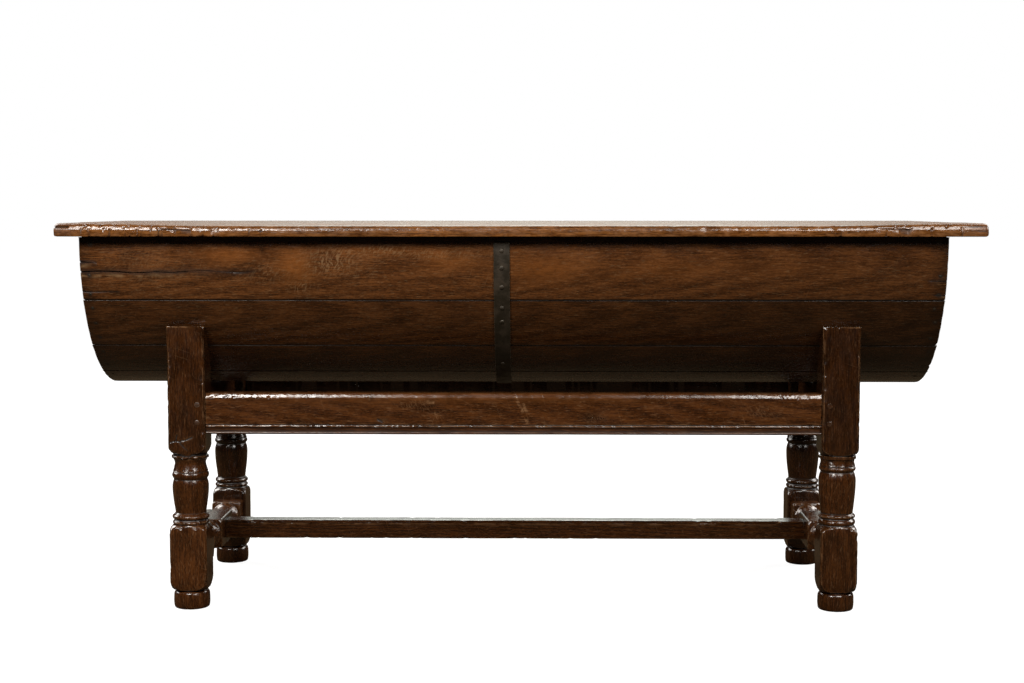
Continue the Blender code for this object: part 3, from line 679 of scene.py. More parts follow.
class Piece:
    """One piece in the making: its mesh, and the layers that its finish reads."""

    def __init__(self, name: str, bm: Mesh) -> None:
        """Takes a mesh and gives it empty layers."""
        self.name = name
        self.bm = bm
        for layer in Layer:
            bm.verts.layers.float.new(layer.value)
        bm.verts.layers.float_vector.new("grain")
        self.layers = {layer: bm.verts.layers.float[layer.value] for layer in Layer}
        self.grain = bm.verts.layers.float_vector["grain"]
        self.wear = self.layers[Layer.WEAR]
        self.grime = self.layers[Layer.GRIME]
        self.tone = self.layers[Layer.TONE]
        self.shade(1.0)

    def shade(self, tone: float) -> None:
        """Sets how bright the whole piece is against its finish."""
        for vert in self.bm.verts:
            vert[self.tone] = tone

    def lay_grain(self, place: Callable[[Vector], Vector], seed: int) -> None:
        """Gives each point its place in the wood.

        Args:
            place: Turns a point into its distance along the grain and its two distances across it.
            seed: Picks the log that the piece was sawn from, and where.
        """
        picked = random.Random(seed)
        heart = Vector((picked.uniform(0, 9), picked.uniform(-0.05, 0.05), picked.uniform(0.03, 0.10)))
        for vert in self.bm.verts:
            vert[self.grain] = place(vert.co) + heart

    def find_edges(self, low: float = 110.0, high: float = 420.0) -> None:
        """Marks rounded edges as rubbed, and inner corners as grimy with painted shade.

        Args:
            low: Curvature, to the metre, where either starts.
            high: Curvature where it is full.
        """
        self.bm.normal_update()
        self.bm.faces.index_update()
        areas = [face.calc_area() for face in self.bm.faces]
        for edge in self.bm.edges:
            bend = self.bend(edge, areas)
            if abs(bend) <= low:
                continue
            # hollows get grime with painted shade
            layer = self.wear if bend > 0 else self.grime
            full = smooth_step(abs(bend), low, high)
            for vert in edge.verts:
                vert[layer] = max(vert[layer], full)

    @staticmethod
    def bend(edge: bmesh.types.BMEdge, areas: Sequence[float]) -> float:
        """How sharply the surface turns across an edge, to the metre, and below 0 in a hollow."""
        length = edge.calc_length()
        if len(edge.link_faces) != 2 or length < TINY:
            return 0.0
        room = sum(areas[face.index] for face in edge.link_faces) / (2 * length)
        return edge.calc_face_angle_signed(0.0) / max(room, 2e-4)

    def wear_down(
        self, seed: float, waves: float, dents: float, edges: float, stretch: Sequence[float]
    ) -> None:
        """Takes the surface in by slow waves, small dents, and more along rubbed edges.

        Args:
            seed: Picks the pattern.
            waves: Depth of the slow waves.
            dents: Depth of the small dents.
            edges: Depth taken off the edges.
            stretch: How far the pattern is drawn out along X, Y and Z: below 1 is longer.
        """
        self.bm.normal_update()
        moves = []
        for vert in self.bm.verts:
            drawn = Vector([part * share for part, share in zip(vert.co, stretch)])
            slow = 0.5 + 0.5 * wobble(drawn, WAVE_SIZE, seed)
            small = max(0.0, wobble(drawn, DENT_SIZE, seed + 3.1) - 0.15)
            broken = 0.5 + 0.5 * wobble(drawn, CHIP_SIZES[0], seed + 7.7)
            broken += 0.25 * wobble(vert.co, CHIP_SIZES[1], seed + 1.3)
            depth = waves * slow + dents * small + edges * vert[self.wear] * max(0.0, broken)
            moves.append(vert.normal * depth)
        for vert, move in zip(self.bm.verts, moves):
            vert.co -= move

    def nick(
        self,
        seed: int,
        count: int,
        radius: Pair,
        depth: Pair,
        dark: float = 0.0,
        span: Pair = (-9.0, 9.0),
        drawn: float = 1.0,
    ) -> None:
        """Knocks small hollows into the rubbed edges.

        Args:
            seed: Picks the places.
            count: How many hollows.
            radius: Least and greatest radius.
            depth: Least and greatest depth.
            dark: How grimy the hollows are.
            span: The stretch along X where they lie.
            drawn: How many times longer than wide they are, on a slant.
        """
        self.bm.normal_update()
        self.bm.verts.ensure_lookup_table()
        low, high = span
        edges = [vert.index for vert in self.bm.verts if vert[self.wear] > RUBBED and low < vert.co.x < high]
        if not edges:
            return
        tree = kdtree.KDTree(len(self.bm.verts))
        for vert in self.bm.verts:
            tree.insert(vert.co, vert.index)
        tree.balance()
        picked = random.Random(seed)
        for _ in range(count):
            middle = self.bm.verts[picked.choice(edges)]
            size = picked.uniform(*radius)
            sunk = picked.uniform(*depth)
            inward = middle.normal.copy()
            start = middle.co.copy()
            lean = picked.uniform(0.35, 1.15)
            slant = Vector((math.cos(lean), 0, math.sin(lean)))
            for place, index, far in tree.find_range(start, size * drawn):
                along = (place - start).dot(slant)
                away = (far**2 - along**2 + (along / drawn) ** 2) / size**2
                vert = self.bm.verts[index]
                if away > 1 or vert.normal.dot(inward) < 0.25:
                    continue
                share = (1 - away) ** 2
                vert.co -= inward * sunk * share
                vert[self.grime] = max(vert[self.grime], dark * share)

    def score(
        self,
        line: Sequence[Sequence[float]],
        width: float,
        depth: float,
        pale: float,
        dark: float = Scratch.dark,
    ) -> None:
        """Opens a crack along a line over the surface.

        Args:
            line: Points that the crack runs through.
            width: How wide it is.
            depth: How deep it is.
            pale: How rubbed its lips are.
            dark: How much dirt lies in it.
        """
        points = [Vector(point) for point in line]
        low = min(point.x for point in points) - 2 * width
        high = max(point.x for point in points) + 2 * width
        self.bm.normal_update()
        moves = []
        for vert in self.bm.verts:
            if not low < vert.co.x < high:
                continue
            away = min(self.distance(vert.co, first, last) for first, last in zip(points, points[1:]))
            if away < 0.7 * width:
                share = 1 - away / (0.7 * width)
                moves.append((vert, vert.normal * depth * share))
                vert[self.grime] = max(vert[self.grime], min(1.0, dark * share))
                vert[self.wear] = 0.0 if dark else pale
            elif dark and away < 1.6 * width:
                vert[self.wear] = max(vert[self.wear], pale)
        for vert, move in moves:
            vert.co -= move

    @staticmethod
    def distance(point: Vector, first: Vector, last: Vector) -> float:
        """How far a point lies from a stretch between two others."""
        _, share = geometry.intersect_point_line(point, first, last)
        return (point - first.lerp(last, clamp(share, 0.0, 1.0))).length

    def keep_inside(self, low: Vector, high: Vector) -> None:
        """Holds every point inside a box."""
        for vert in self.bm.verts:
            vert.co = [clamp(*limits) for limits in zip(vert.co, low, high)]

    def tint(self, layer: Layer, middle: Sequence[float], reach: Sequence[float], amount: float) -> None:
        """Adds a soft spot to a layer.

        Args:
            layer: The layer.
            middle: Middle of the spot.
            reach: How far it spreads along X, Y and Z.
            amount: What is added at its middle.
        """
        for vert in self.bm.verts:
            away = sum(((part - centre) / size) ** 2 for part, centre, size in zip(vert.co, middle, reach))
            if away < 9.0:
                vert[self.layers[layer]] += amount * math.exp(-away)

    def mark(self, face: float, depth: float, spots: Iterable[Spot]) -> None:
        """Adds soft spots to a face at a place along Y, each reaching to some depth."""
        for spot in spots:
            self.tint(spot.layer, (spot.x, face, spot.z), (spot.wide, depth, spot.high), spot.amount)

    def make(
        self, material: Material, body: Body, slot: Slot, nodes: Iterable[str], sharp: float = 42.0
    ) -> None:
        """Turns the mesh into an object that rides on its body and stands for CAD nodes.

        Args:
            material: Its finish.
            body: The body that it moves with.
            slot: The record's slot for its finish; not used.
            nodes: The CAD nodes that it stands for.
            sharp: Corners sharper than this many degrees stay hard.
        """
        names = list(nodes)
        if len(names) == 1:
            self.keep_inside(*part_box(names[0]))
        mesh = bpy.data.meshes.new(self.name)
        self.bm.to_mesh(mesh)
        self.bm.free()
        mesh.materials.append(material)
        mesh.shade_smooth()
        mesh.set_sharp_from_angle(angle=math.radians(sharp))
        obj = bpy.data.objects.new(self.name, mesh)
        bpy.context.scene.collection.objects.link(obj)
        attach(obj, body.value)
        if names:
            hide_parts(*names)
        LOG.info("%s: %d faces on %s", self.name, len(mesh.polygons), body.value)


def join_copies(bm: Mesh, places: Iterable[Matrix]) -> Mesh:
    """Repeats a small mesh at several places in one mesh.

    Args:
        bm: The mesh, which is used up.
        places: Where each copy goes.

    Returns:
        One mesh with all the copies.
    """
    mesh = bpy.data.meshes.new("pattern")
    bm.to_mesh(mesh)
    bm.free()
    joined = bmesh.new()
    for place in places:
        before = len(joined.verts)
        joined.from_mesh(mesh)
        joined.verts.ensure_lookup_table()
        bmesh.ops.transform(joined, matrix=place, verts=joined.verts[before:])
    bpy.data.meshes.remove(mesh)
    return joined


# The trough


@dataclass(frozen=True)
class Crack:
    """A split along the grain of a stave, from one of its ends."""

    share: float  # where it lies across the stave
    opening: float  # along X
    tip: float
    width: float
    depth: float


@dataclass
class Trough:
    """The half barrel: staves, heads, iron strap and nails."""

    wood: Material
    iron: Material
    middle: float = -0.0072
    rim: float = 0.7627
    length: float = 1.724
    radius: float = 0.318
    thickness: float = 0.024
    fit: float = 0.0003  # between pieces
    turns: tuple[float, ...] = (23.7, 21.0, 18.4)  # degrees that the upper staves take up
    arris: Pair = (0.0007, 0.0024)  # of the upper and lower edges of a stave
    tones: tuple[float, ...] = (1.0, 0.68, 0.68, 0.85)  # of the staves, from the rim down
    seam_dirt: float = 0.0016  # width of the dirt beside the inner seams
    inner_grime: Pair = (0.30, 0.90)  # on the inside, and along the seams there
    seam_grime: Pair = (0.70, 0.25)  # dirt and painted shade in the outer seams, and beside them
    # how dark the outer seams and the edges beside them are: dark joints, with painted shade between the
    # staves
    seam_tone: Pair = (0.12, 0.60)
    seam_wear: float = 0.3  # what is left of the wear beside the outer seams
    fade: tuple[float, ...] = (0.31, 0.50, 0.38, 0.30)  # how much darker each stave is at its right end: painted shade where the light falls off
    fade_span: Pair = (-0.4, 0.8)  # along X, where that starts and is full
    end_fade: float = 0.42  # how much darker both ends are
    end_dark: float = 0.045  # how far in they are
    rim_fade: float = 0.55  # painted shadow of the lid: how much darker the stave is under it
    rim_dark: Pair = (0.025, 0.013)  # how far below the rim that starts and is full
    end_grain: float = 1.6  # how much brighter the sawn ends are
    stave_rim: float = 0.0022
    stave_steps: tuple[int, int] = (420, 260)  # along the front and the back staves
    head_rim: float = 0.0016
    head_tone: float = 0.75
    head_grime: float = 0.5  # on top of the heads
    head_thickness: float = 0.034
    head_board: float = 0.150
    strap_x: float = -0.021
    strap_width: float = 0.032
    strap_thickness: float = 0.003
    strap_drop: float = 0.010
    strap_nails: tuple[tuple[float, ...], ...] = ((0.21, 0.47, 0.77), (0.13, 0.41), (0.56,))
    nail_head: float = 0.0048
    nail_height: float = 0.0024
    end_nails: tuple[tuple[float, ...], ...] = (
        (0.10, 0.62, 0.90),
        (0.18, 0.45, 0.80),
        (0.20, 0.70),
        (0.15, 0.60),
    )  # shares of the way across each stave
    end_nail_size: Pair = (0.0036, 0.0011)  # radius and height
    nail_stain: float = 0.0042  # radius of the dirt round each
    end_inset: float = 0.018  # of those nails from the ends
    cracks: tuple[Crack, ...] = (
        Crack(0.540, -0.862, -0.50, 0.0058, 0.0080),
        Crack(0.400, -0.862, -0.832, 0.0046, 0.0050),
        Crack(0.865, -0.862, -0.790, 0.0026, 0.0030),
        Crack(0.680, 0.862, 0.815, 0.0032, 0.0040),
        Crack(0.905, 0.862, 0.828, 0.0024, 0.0030),
    )
    spot_depth: float = 0.2
    spots: tuple[Spot, ...] = (
        Spot(Layer.WARM, -0.58, 0.727, 0.060, 0.014, 0.60),
        Spot(Layer.WARM, -0.44, 0.705, 0.032, 0.030, 0.80),
        Spot(Layer.WARM, -0.27, 0.735, 0.110, 0.012, 0.45),
        Spot(Layer.WARM, -0.13, 0.715, 0.060, 0.020, 0.50),
        Spot(Layer.WARM, 0.06, 0.700, 0.070, 0.028, 0.60),
        Spot(Layer.WARM, 0.30, 0.700, 0.120, 0.022, 0.35),
        Spot(Layer.WARM, 0.55, 0.700, 0.150, 0.020, 0.22),
        Spot(Layer.FIGURE, -0.371, 0.713, 0.050, 0.026, 0.58),
        Spot(Layer.FIGURE, -0.430, 0.662, 0.022, 0.012, 0.45),
        Spot(Layer.FIGURE, -0.500, 0.690, 0.045, 0.018, 0.30),
        Spot(Layer.FIGURE, -0.270, 0.737, 0.060, 0.010, 0.55),
        Spot(Layer.FIGURE, -0.140, 0.728, 0.080, 0.010, 0.40),
        Spot(Layer.FIGURE, -0.730, 0.700, 0.080, 0.040, 0.16),
        Spot(Layer.TONE, -0.503, 0.735, 0.005, 0.009, -0.60),
        Spot(Layer.TONE, -0.122, 0.725, 0.012, 0.006, -0.40),
    )  # warm patches, curly figure and knots of the top front stave

    @property
    def edges(self) -> list[float]:
        """Angles of the seams round the half barrel, from the front rim."""
        upper = [math.radians(sum(self.turns[:i])) for i in range(len(self.turns) + 1)]
        return [*upper, math.pi / 2, *[math.pi - edge for edge in reversed(upper)]]

    def on_barrel(self, angle: float, radius: float) -> Point:
        """The (y, z) of a point on the barrel, by the angle turned from the front rim."""
        return -radius * math.cos(angle), self.rim - radius * math.sin(angle)

    def turn_of(self, point: Vector) -> float:
        """The angle of a point round the barrel, from the front rim."""
        return math.atan2(self.rim - point.z, -point.y)

    def build(self) -> None:
        """Makes and dresses the whole trough."""
        self.build_staves()
        self.build_heads()
        self.build_strap()
        self.build_strap_nails()
        self.build_end_nails()

    def build_staves(self) -> None:
        """Staves with eased arrises, worn ends and splits."""
        edges = self.edges
        count = len(edges) - 1
        seam = self.fit / self.radius / 2
        for number in range(count):
            low = edges[number] + seam
            high = edges[number + 1] - seam
            front = number < count / 2
            cracks = self.cracks if number == 0 else ()
            rows = self.rows(low, high, cracks)
            steps = self.stave_steps[0 if front else 1]
            arris = self.arris if front else self.arris[::-1]
            bm = round_bar(self.outline(low, high, rows, arris), self.ends(), steps, self.stave_rim)
            piece = Piece(f"trough_stave_{number + 1}", bm)
            middle = (low + high) / 2
            place = min(number, count - 1 - number)
            piece.shade(self.tones[place])
            piece.lay_grain(lambda co: self.along_stave(co, middle), 11 + number)
            piece.find_edges()
            self.darken(piece, low, high, self.fade[place])
            pattern = 2.3 * number + 0.4
            piece.wear_down(pattern, waves=0.0006, dents=0.0003, edges=0.0008, stretch=(0.22, 1.0, 1.0))
            piece.nick(40 + number, 9, radius=(0.003, 0.009), depth=(0.0004, 0.0012), dark=0.5)
            self.split(piece, low, high, cracks)
            for x, angle in self.end_nail_places(number):
                y, z = self.on_barrel(angle, self.radius)
                piece.tint(Layer.GRIME, (x, y, z), [self.nail_stain] * 3, 0.9)
            if number == 0:
                piece.mark(-self.radius, self.spot_depth, self.spots)
            piece.make(self.wood, Body.TROUGH, Slot.TROUGH, [f"stave_{number + 1}"])

    def ends(self) -> Pair:
        """Where the trough starts and ends along X."""
        return self.middle - self.length / 2, self.middle + self.length / 2

    def rows(self, low: float, high: float, cracks: Sequence[Crack]) -> list[float]:
        """Angles of the rows of points across a stave, closer beside its splits."""
        ease = max(self.arris) / self.radius
        found = steps_between(low + 1.6 * ease, high - 1.6 * ease, 26)
        for crack in cracks:
            line = low + crack.share * (high - low)
            reach = crack.width / self.radius
            found = [row for row in found if abs(row - line) > 1.9 * reach]
            found += [line + reach * share for share in (-1.3, -0.5, 0.0, 0.5, 1.3)]
        found.sort()
        return found

    def outline(self, low: float, high: float, rows: Sequence[float], arris: Pair) -> list[Point]:
        """The section of one stave, with its outer corners eased."""
        inner = self.radius - self.thickness
        first, last = (quarter_round(radius) for radius in arris)
        polar = [(low + across / self.radius, self.radius - deep) for across, deep in first]
        polar += [(row, self.radius) for row in rows]
        polar += [(high - across / self.radius, self.radius - deep) for across, deep in reversed(last)]
        beside = self.seam_dirt / inner
        polar += [(angle, inner) for angle in (high, *steps_between(high - beside, low + beside, 6), low)]
        return [self.on_barrel(angle, radius) for angle, radius in polar]

    def along_stave(self, point: Vector, middle: float) -> Vector:
        """A point's place along a stave, round the barrel from the stave's middle, and in from its face."""
        reach = math.hypot(point.y, self.rim - point.z)
        return Vector((point.x, (self.turn_of(point) - middle) * self.radius, self.radius - reach))

    def darken(self, piece: Piece, low: float, high: float, fade: float) -> None:
        """Old dirt and painted shade in the seams beside a stave, darker handled ends, and painted shade
        under the lid and towards the right.

        Args:
            piece: The stave.
            low: Angle where it starts.
            high: Angle where it ends.
            fade: How much painted shade darkens it at its right end.
        """
        start, end = self.ends()
        first = low if low > 0.01 else -math.pi
        last = high if high < math.pi - 0.01 else 2 * math.pi
        for vert in piece.bm.verts:
            angle = self.turn_of(vert.co)
            deep = self.radius - math.hypot(vert.co.y, self.rim - vert.co.z)
            edge = min(angle - first, last - angle) * self.radius
            near = min(vert.co.x - start, end - vert.co.x)
            if deep > 0.5 * self.thickness:
                vert[piece.grime] = self.inner_grime[1 if edge < 0.5 * self.seam_dirt else 0]
            elif near < 0.0015:
                vert[piece.grime] = 0.0
            # dirt and painted shade in the outer seams and beside them
            elif deep > 0.0001 and edge < max(self.arris):
                vert[piece.grime] = self.seam_grime[0]
                vert[piece.wear] = 0.0
                vert[piece.tone] *= self.seam_tone[0]
            elif edge < 1.5 * max(self.arris):
                vert[piece.grime] = self.seam_grime[1]
                vert[piece.wear] *= self.seam_wear
                vert[piece.tone] *= self.seam_tone[1]
            vert[piece.tone] *= self.tone_at(vert, near, deep, fade)

    def tone_at(self, vert: bmesh.types.BMVert, near: float, deep: float, fade: float) -> float:
        """How bright a stave is at a point: darker towards its ends, with painted shadow under the lid and
        painted shade to the right.

        Args:
            vert: The point.
            near: How far it lies from the nearer end.
            deep: How far it lies in from the outside of the barrel.
            fade: How much painted shade darkens the stave at its right end.

        Returns:
            A factor on the tone.
        """
        near += 0.010 * wobble(vert.co, 0.03, 2.2)
        tone = 1 - self.end_fade * (1 - smooth_step(near, 0.0, self.end_dark))
        # painted shadow of the lid's overhang, just below the rim
        if deep < 0.0005:
            start, full = (self.rim - drop for drop in self.rim_dark)
            tone *= 1 - self.rim_fade * smooth_step(vert.co.z, start, full)
        # painted shade, falling off towards the right end
        tone *= 1 - fade * smooth_step(vert.co.x, *self.fade_span)
        return tone * self.end_grain if abs(vert.normal.x) > 0.7 else tone

    def split(self, piece: Piece, low: float, high: float, cracks: Sequence[Crack]) -> None:
        """Opens the splits of a stave."""
        for crack in cracks:
            line = low + crack.share * (high - low)
            for vert in piece.bm.verts:
                reach = math.hypot(vert.co.y, self.rim - vert.co.z)
                off = (self.turn_of(vert.co) - line) * self.radius
                if abs(off) > 1.4 * crack.width or reach < self.radius - 0.008:
                    continue
                gone = (vert.co.x - crack.tip) / (crack.opening - crack.tip)
                if gone <= 0:
                    continue
                wide = min(1.0, gone) ** 0.8 * (0.75 + 0.35 * wobble(vert.co, 0.02, 5.0))
                drift = 0.0050 * wobble(Vector((vert.co.x, 0, 0)), 0.065, crack.share * 9)
                inside = abs(off) < 0.6 * crack.width
                moved = drift * (1.0 if inside else 0.4) + (off * wide if inside else off)
                sunk = crack.depth * smooth_step(gone, 0.02, 0.45) * wide
                sunk *= max(0.0, 1 - abs(off) / (0.5 * crack.width))
                vert.co.y, vert.co.z = self.on_barrel(line + moved / self.radius, reach - sunk)
                dirty = max(0.0, 1 - 0.9 * abs(off) / crack.width) if inside else 0.15
                vert[piece.grime] = max(vert[piece.grime], dirty * min(1.0, 12 * gone))
                if off > 0.9 * crack.width:
                    vert[piece.wear] = 0.9 * smooth_step(gone, 0.2, 0.8)

    def build_heads(self) -> None:
        """Two half-round ends, each an upper and a lower board."""
        round_edge = self.radius - self.thickness - self.fit
        cut = math.asin(self.head_board / round_edge)
        upper = [*steps_between(0, cut, 14), *steps_between(math.pi - cut, math.pi, 14)]
        lower = steps_between(cut + 0.0012, math.pi - cut - 0.0012, 40)
        seed = 60
        for side in Side:
            outer = self.middle + side.value * self.length / 2
            reach = sorted((outer, outer - side.value * self.head_thickness))
            for board, angles in (("upper", upper), ("lower", lower)):
                outline = [self.on_barrel(angle, round_edge) for angle in angles]
                bm = round_bar(outline, reach, 4, self.head_rim)
                piece = Piece(f"trough_head_{side.word}_{board}", bm)
                piece.shade(self.head_tone)
                seed += 1
                piece.lay_grain(lambda co: Vector((co.y, co.z - self.rim, co.x - outer)), seed)
                piece.find_edges()
                for vert in piece.bm.verts:
                    if vert.co.z > self.rim - 0.003:
                        vert[piece.grime] = self.head_grime
                        vert[piece.wear] = 0.0
                piece.make(self.wood, Body.TROUGH, Slot.TROUGH, [f"head_{side.word}_{board}"])

    def build_strap(self) -> None:
        """The iron band round the staves, bent from a flat bar with uneven edges."""
        half = self.strap_width / 2
        inner = self.radius + self.fit
        first = math.asin(self.strap_drop / self.radius)
        ease = quarter_round(0.0009)
        corners = [(-half + across, inner + self.strap_thickness - deep) for across, deep in ease]
        corners += [(x, inner + self.strap_thickness) for x in steps_between(-half * 0.8, half * 0.8, 6)]
        corners += [(half - across, inner + self.strap_thickness - deep) for across, deep in reversed(ease)]
        corners += [(half, inner), (-half, inner)]
        bm = bmesh.new()
        place = self.middle + self.strap_x
        verts = [bm.verts.new((place + x, *self.on_barrel(first, radius))) for x, radius in corners]
        edges = [bm.edges.new(pair) for pair in zip(verts, [*verts[1:], verts[0]])]
        bmesh.ops.spin(
            bm,
            geom=verts + edges,
            cent=(0, 0, self.rim),
            axis=(1, 0, 0),
            angle=math.pi - 2 * first,
            steps=150,
            use_merge=False,
            use_duplicate=False,
        )
        bmesh.ops.holes_fill(bm, edges=[edge for edge in bm.edges if edge.is_boundary], sides=0)
        face_out(bm)
        piece = Piece("trough_strap", bm)
        piece.find_edges(low=200.0, high=800.0)
        for vert in bm.verts:
            vert.co.x += 0.0007 * wobble(vert.co, 0.022, 4.4) + 0.0005 * wobble(vert.co, 0.09, 8.4)
        piece.make(self.iron, Body.TROUGH, Slot.IRON, ["iron_strap"])

    @staticmethod
    def nail(radius: float, height: float) -> Mesh:
        """A hand-made nail, its head on the floor."""
        stub = [(0, -0.004), (radius * 0.5, -0.004), (radius * 0.97, -0.0006)]
        return make_nail(radius, height, stub, 5)

    def nail_place(self, x: float, angle: float, radius: float, tilt: float) -> Matrix:
        """Where a nail goes: at a place along the barrel, pointing out from it."""
        y, z = self.on_barrel(angle, radius)
        out = Vector((tilt, -math.cos(angle), -math.sin(angle)))
        return Matrix.Translation((x, y, z)) @ out.to_track_quat("Z", "X").to_matrix().to_4x4()

    def build_strap_nails(self) -> None:
        """Round-headed nails through the strap."""
        edges = self.edges
        seat = self.radius + self.fit + self.strap_thickness
        picked = random.Random(5)
        places = []
        for back in (False, True):
            for stave, shares in enumerate(self.strap_nails):
                for share in shares:
                    angle = edges[stave] + share * (edges[stave + 1] - edges[stave])
                    angle = math.pi - angle if back else angle
                    x = self.middle + self.strap_x
                    turned = self.nail_place(x, angle, seat, picked.uniform(-0.12, 0.12))
                    places.append(turned @ Matrix.Scale(picked.uniform(0.85, 1.0), 4))
        bm = join_copies(self.nail(self.nail_head, self.nail_height), places)
        piece = Piece("trough_strap_nails", bm)
        piece.find_edges(low=150.0, high=500.0)
        nodes = [f"strap_nail_{depth.word}_{number}" for depth in Depth for number in range(1, 7)]
        piece.make(self.iron, Body.TROUGH, Slot.IRON, nodes)

    def end_nail_places(self, stave: int) -> list[Pair]:
        """Where the nails through a stave's ends are: along X, and as an angle round the barrel."""
        edges = self.edges
        picked = random.Random(800 + stave)
        places = []
        for side in Side:
            x = self.middle + side.value * (self.length / 2 - self.end_inset)
            for share in self.end_nails[min(stave, len(edges) - 2 - stave)]:
                shift = share + picked.uniform(-0.03, 0.03)
                angle = edges[stave] + shift * (edges[stave + 1] - edges[stave])
                places.append((x + picked.uniform(-0.005, 0.005), angle))
        return places

    def build_end_nails(self) -> None:
        """Small sunken nails that hold the staves to the heads."""
        picked = random.Random(8)
        places = []
        for stave in range(len(self.edges) - 1):
            for x, angle in self.end_nail_places(stave):
                turned = self.nail_place(x, angle, self.radius - 0.0008, picked.uniform(-0.2, 0.2))
                places.append(turned @ Matrix.Scale(picked.uniform(0.7, 1.0), 4))
        bm = join_copies(self.nail(*self.end_nail_size), places)
        piece = Piece("trough_end_nails", bm)
        piece.make(self.iron, Body.TROUGH, Slot.IRON, [])


# The lid


@dataclass
class Lid:
    """Three loose boards on two battens."""

    wood: Material
    iron: Material
    boards: tuple[str, ...] = ("front", "middle", "back")
    worn: tuple[Point, ...] = (
        (0.0000, 0.0125),
        (0.0002, 0.0112),
        (0.0008, 0.0095),
        (0.0015, 0.0076),
        (0.0023, 0.0057),
        (0.0032, 0.0039),
        (0.0046, 0.0023),
        (0.0065, 0.0011),
        (0.0088, 0.0004),
        (0.0112, 0.0000),
    )  # the outer edges, as how far in from the front and how far below the top
    under: float = 0.0018  # radius below the outer edges
    joint: float = 0.0016  # ease of the edges between boards
    end_rounds: Pair = (0.0046, 0.0078)  # at the left and at the right
    board_rim: float = 0.0012
    board_steps: tuple[int, int] = (720, 330)  # along the front board and the others
    cut: Pair = (-0.50, 0.62)  # outside these the front edge is knocked about
    dip: float = 0.0045  # how far the front edge is worn below the rest of the top
    dip_reach: Pair = (0.030, 0.110)  # how far back that goes, at the ends and in the middle
    dip_span: Pair = (0.45, 0.75)  # from the middle, between which it gets narrower
    dip_ends: float = 0.75  # how much less it is worn at the ends
    dip_ends_span: Pair = (0.60, 0.84)  # from the middle, between which it gets shallower
    rubbed: Pair = (0.36, 0.24)  # wear of the outer edges in the middle, and how much more at the ends
    rubbed_span: Pair = (0.25, 0.65)  # how far out that starts and is full
    edge_tone: Pair = (0.86, 0.06)  # tone of the outer edges in the middle, and how much less at the ends
    edge_tone_span: Pair = (0.3, 0.6)
    dull: Pair = (0.12, 0.53)  # most wear of the end faces, and how much more away from them
    dull_span: Pair = (0.015, 0.070)  # how far in that starts and is full
    batten_ease: Pair = (0.001, 0.004)  # of the upper and lower edges
    batten_rim: float = 0.003
    batten_tone: float = 0.8
    nail_shares: tuple[float, ...] = (0.18, 0.52, 0.85)  # of the way across each board
    nail_size: Pair = (0.0042, 0.0011)  # radius and height
    nail_stub: tuple[Point, ...] = ((0, -0.003), (0.0040, -0.002))
    nail_margin: float = 0.012  # from the ends of a batten

    def build(self) -> None:
        """Makes and dresses the lid."""
        for number, board in enumerate(self.boards):
            self.build_board(number, board)
        for side in Side:
            self.build_batten(side)
        self.build_nails()

    def build_board(self, number: int, board: str) -> None:
        """One board, rounded along the outside of the lid and eased along its joints."""
        low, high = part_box(f"lid_board_{board}")
        front = number == 0
        back = number == len(self.boards) - 1
        steps = self.board_steps[0 if front else 1]
        places = stations(low.x, high.x, steps, self.end_rounds)
        if front:
            halves = [(a + b) / 2 for a, b in zip(places, places[1:]) if a < self.cut[0] or a > self.cut[1]]
            places = sorted([*places, *halves])
        bm = draw_bar(self.outline(low, high, front, back), places, self.board_rim)
        self.round_ends(bm, low, high, front, back)
        if front:
            self.dip_edge(bm, low, high)
        piece = Piece(f"lid_{board}_board", bm)
        depth = (low.y + high.y) / 2
        piece.lay_grain(lambda co: Vector((co.x, co.y - depth, high.z - co.z)), 31 + 4 * number)
        piece.find_edges(low=60.0, high=160.0)
        self.rub_edges(piece, low, high, front, back)
        piece.wear_down(6.1 + number, waves=0.0005, dents=0.0003, edges=0.0008, stretch=(0.22, 1.0, 1.0))
        piece.nick(70 + number, 60, radius=(0.004, 0.014), depth=(0.0004, 0.0012), dark=0.15)
        if front:
            self.knock_edge(piece)
            self.split_end(piece, low, high)
        self.dull_ends(piece, low, high)
        piece.make(self.wood, Body.LID, Slot.LID, [f"lid_board_{board}"])

    def knock_edge(self, piece: Piece) -> None:
        """Slanting cuts towards both ends of the front edge, and larger dents at the left."""
        first, last = self.cut
        small = (0.0011, 0.0026)
        piece.nick(171, 62, radius=small, depth=(0.0006, 0.0022), dark=0.7, span=(-0.86, first), drawn=3.5)
        piece.nick(172, 34, radius=small, depth=(0.0006, 0.0020), dark=0.7, span=(last, 0.88), drawn=3.5)
        piece.nick(173, 10, radius=(0.0030, 0.0060), depth=(0.0012, 0.0026), dark=0.3, span=(-0.80, first))

    def outline(self, low: Vector, high: Vector, front: bool, back: bool) -> list[Point]:
        """The section of a board, worn along the outside of the lid and eased along its joints."""
        eased = quarter_round(self.joint, 6)
        first = self.worn if front else eased
        last = self.worn if back else eased
        first_under = quarter_round(self.under if front else self.joint, 5)
        last_under = quarter_round(self.under if back else self.joint, 5)
        points = [(low.y + across, high.z - deep) for across, deep in first]
        start = low.y + 1.3 * first[-1][0]
        end = high.y - 1.3 * last[-1][0]
        points += [(y, high.z) for y in steps_between(start, end, 22)]
        points += [(high.y - across, high.z - deep) for across, deep in reversed(last)]
        points += [(high.y - across, low.z + deep) for across, deep in last_under]
        points += [(y, low.z) for y in steps_between(end, start, 8)]
        points += [(low.y + across, low.z + deep) for across, deep in reversed(first_under)]
        return points

    def dip_edge(self, bm: Mesh, low: Vector, high: Vector) -> None:
        """Wears the front of the top down, over a wider stretch in the middle than at the ends."""
        close, wide = self.dip_reach
        for vert in bm.verts:
            reach = close + (wide - close) * (1 - smooth_step(abs(vert.co.x), *self.dip_span))
            worn = 1 - smooth_step(vert.co.y - low.y, 0.004, reach)
            worn *= 1 - self.dip_ends * smooth_step(abs(vert.co.x), *self.dip_ends_span)
            vert.co.z -= self.dip * worn * (vert.co.z - low.z) / (high.z - low.z)

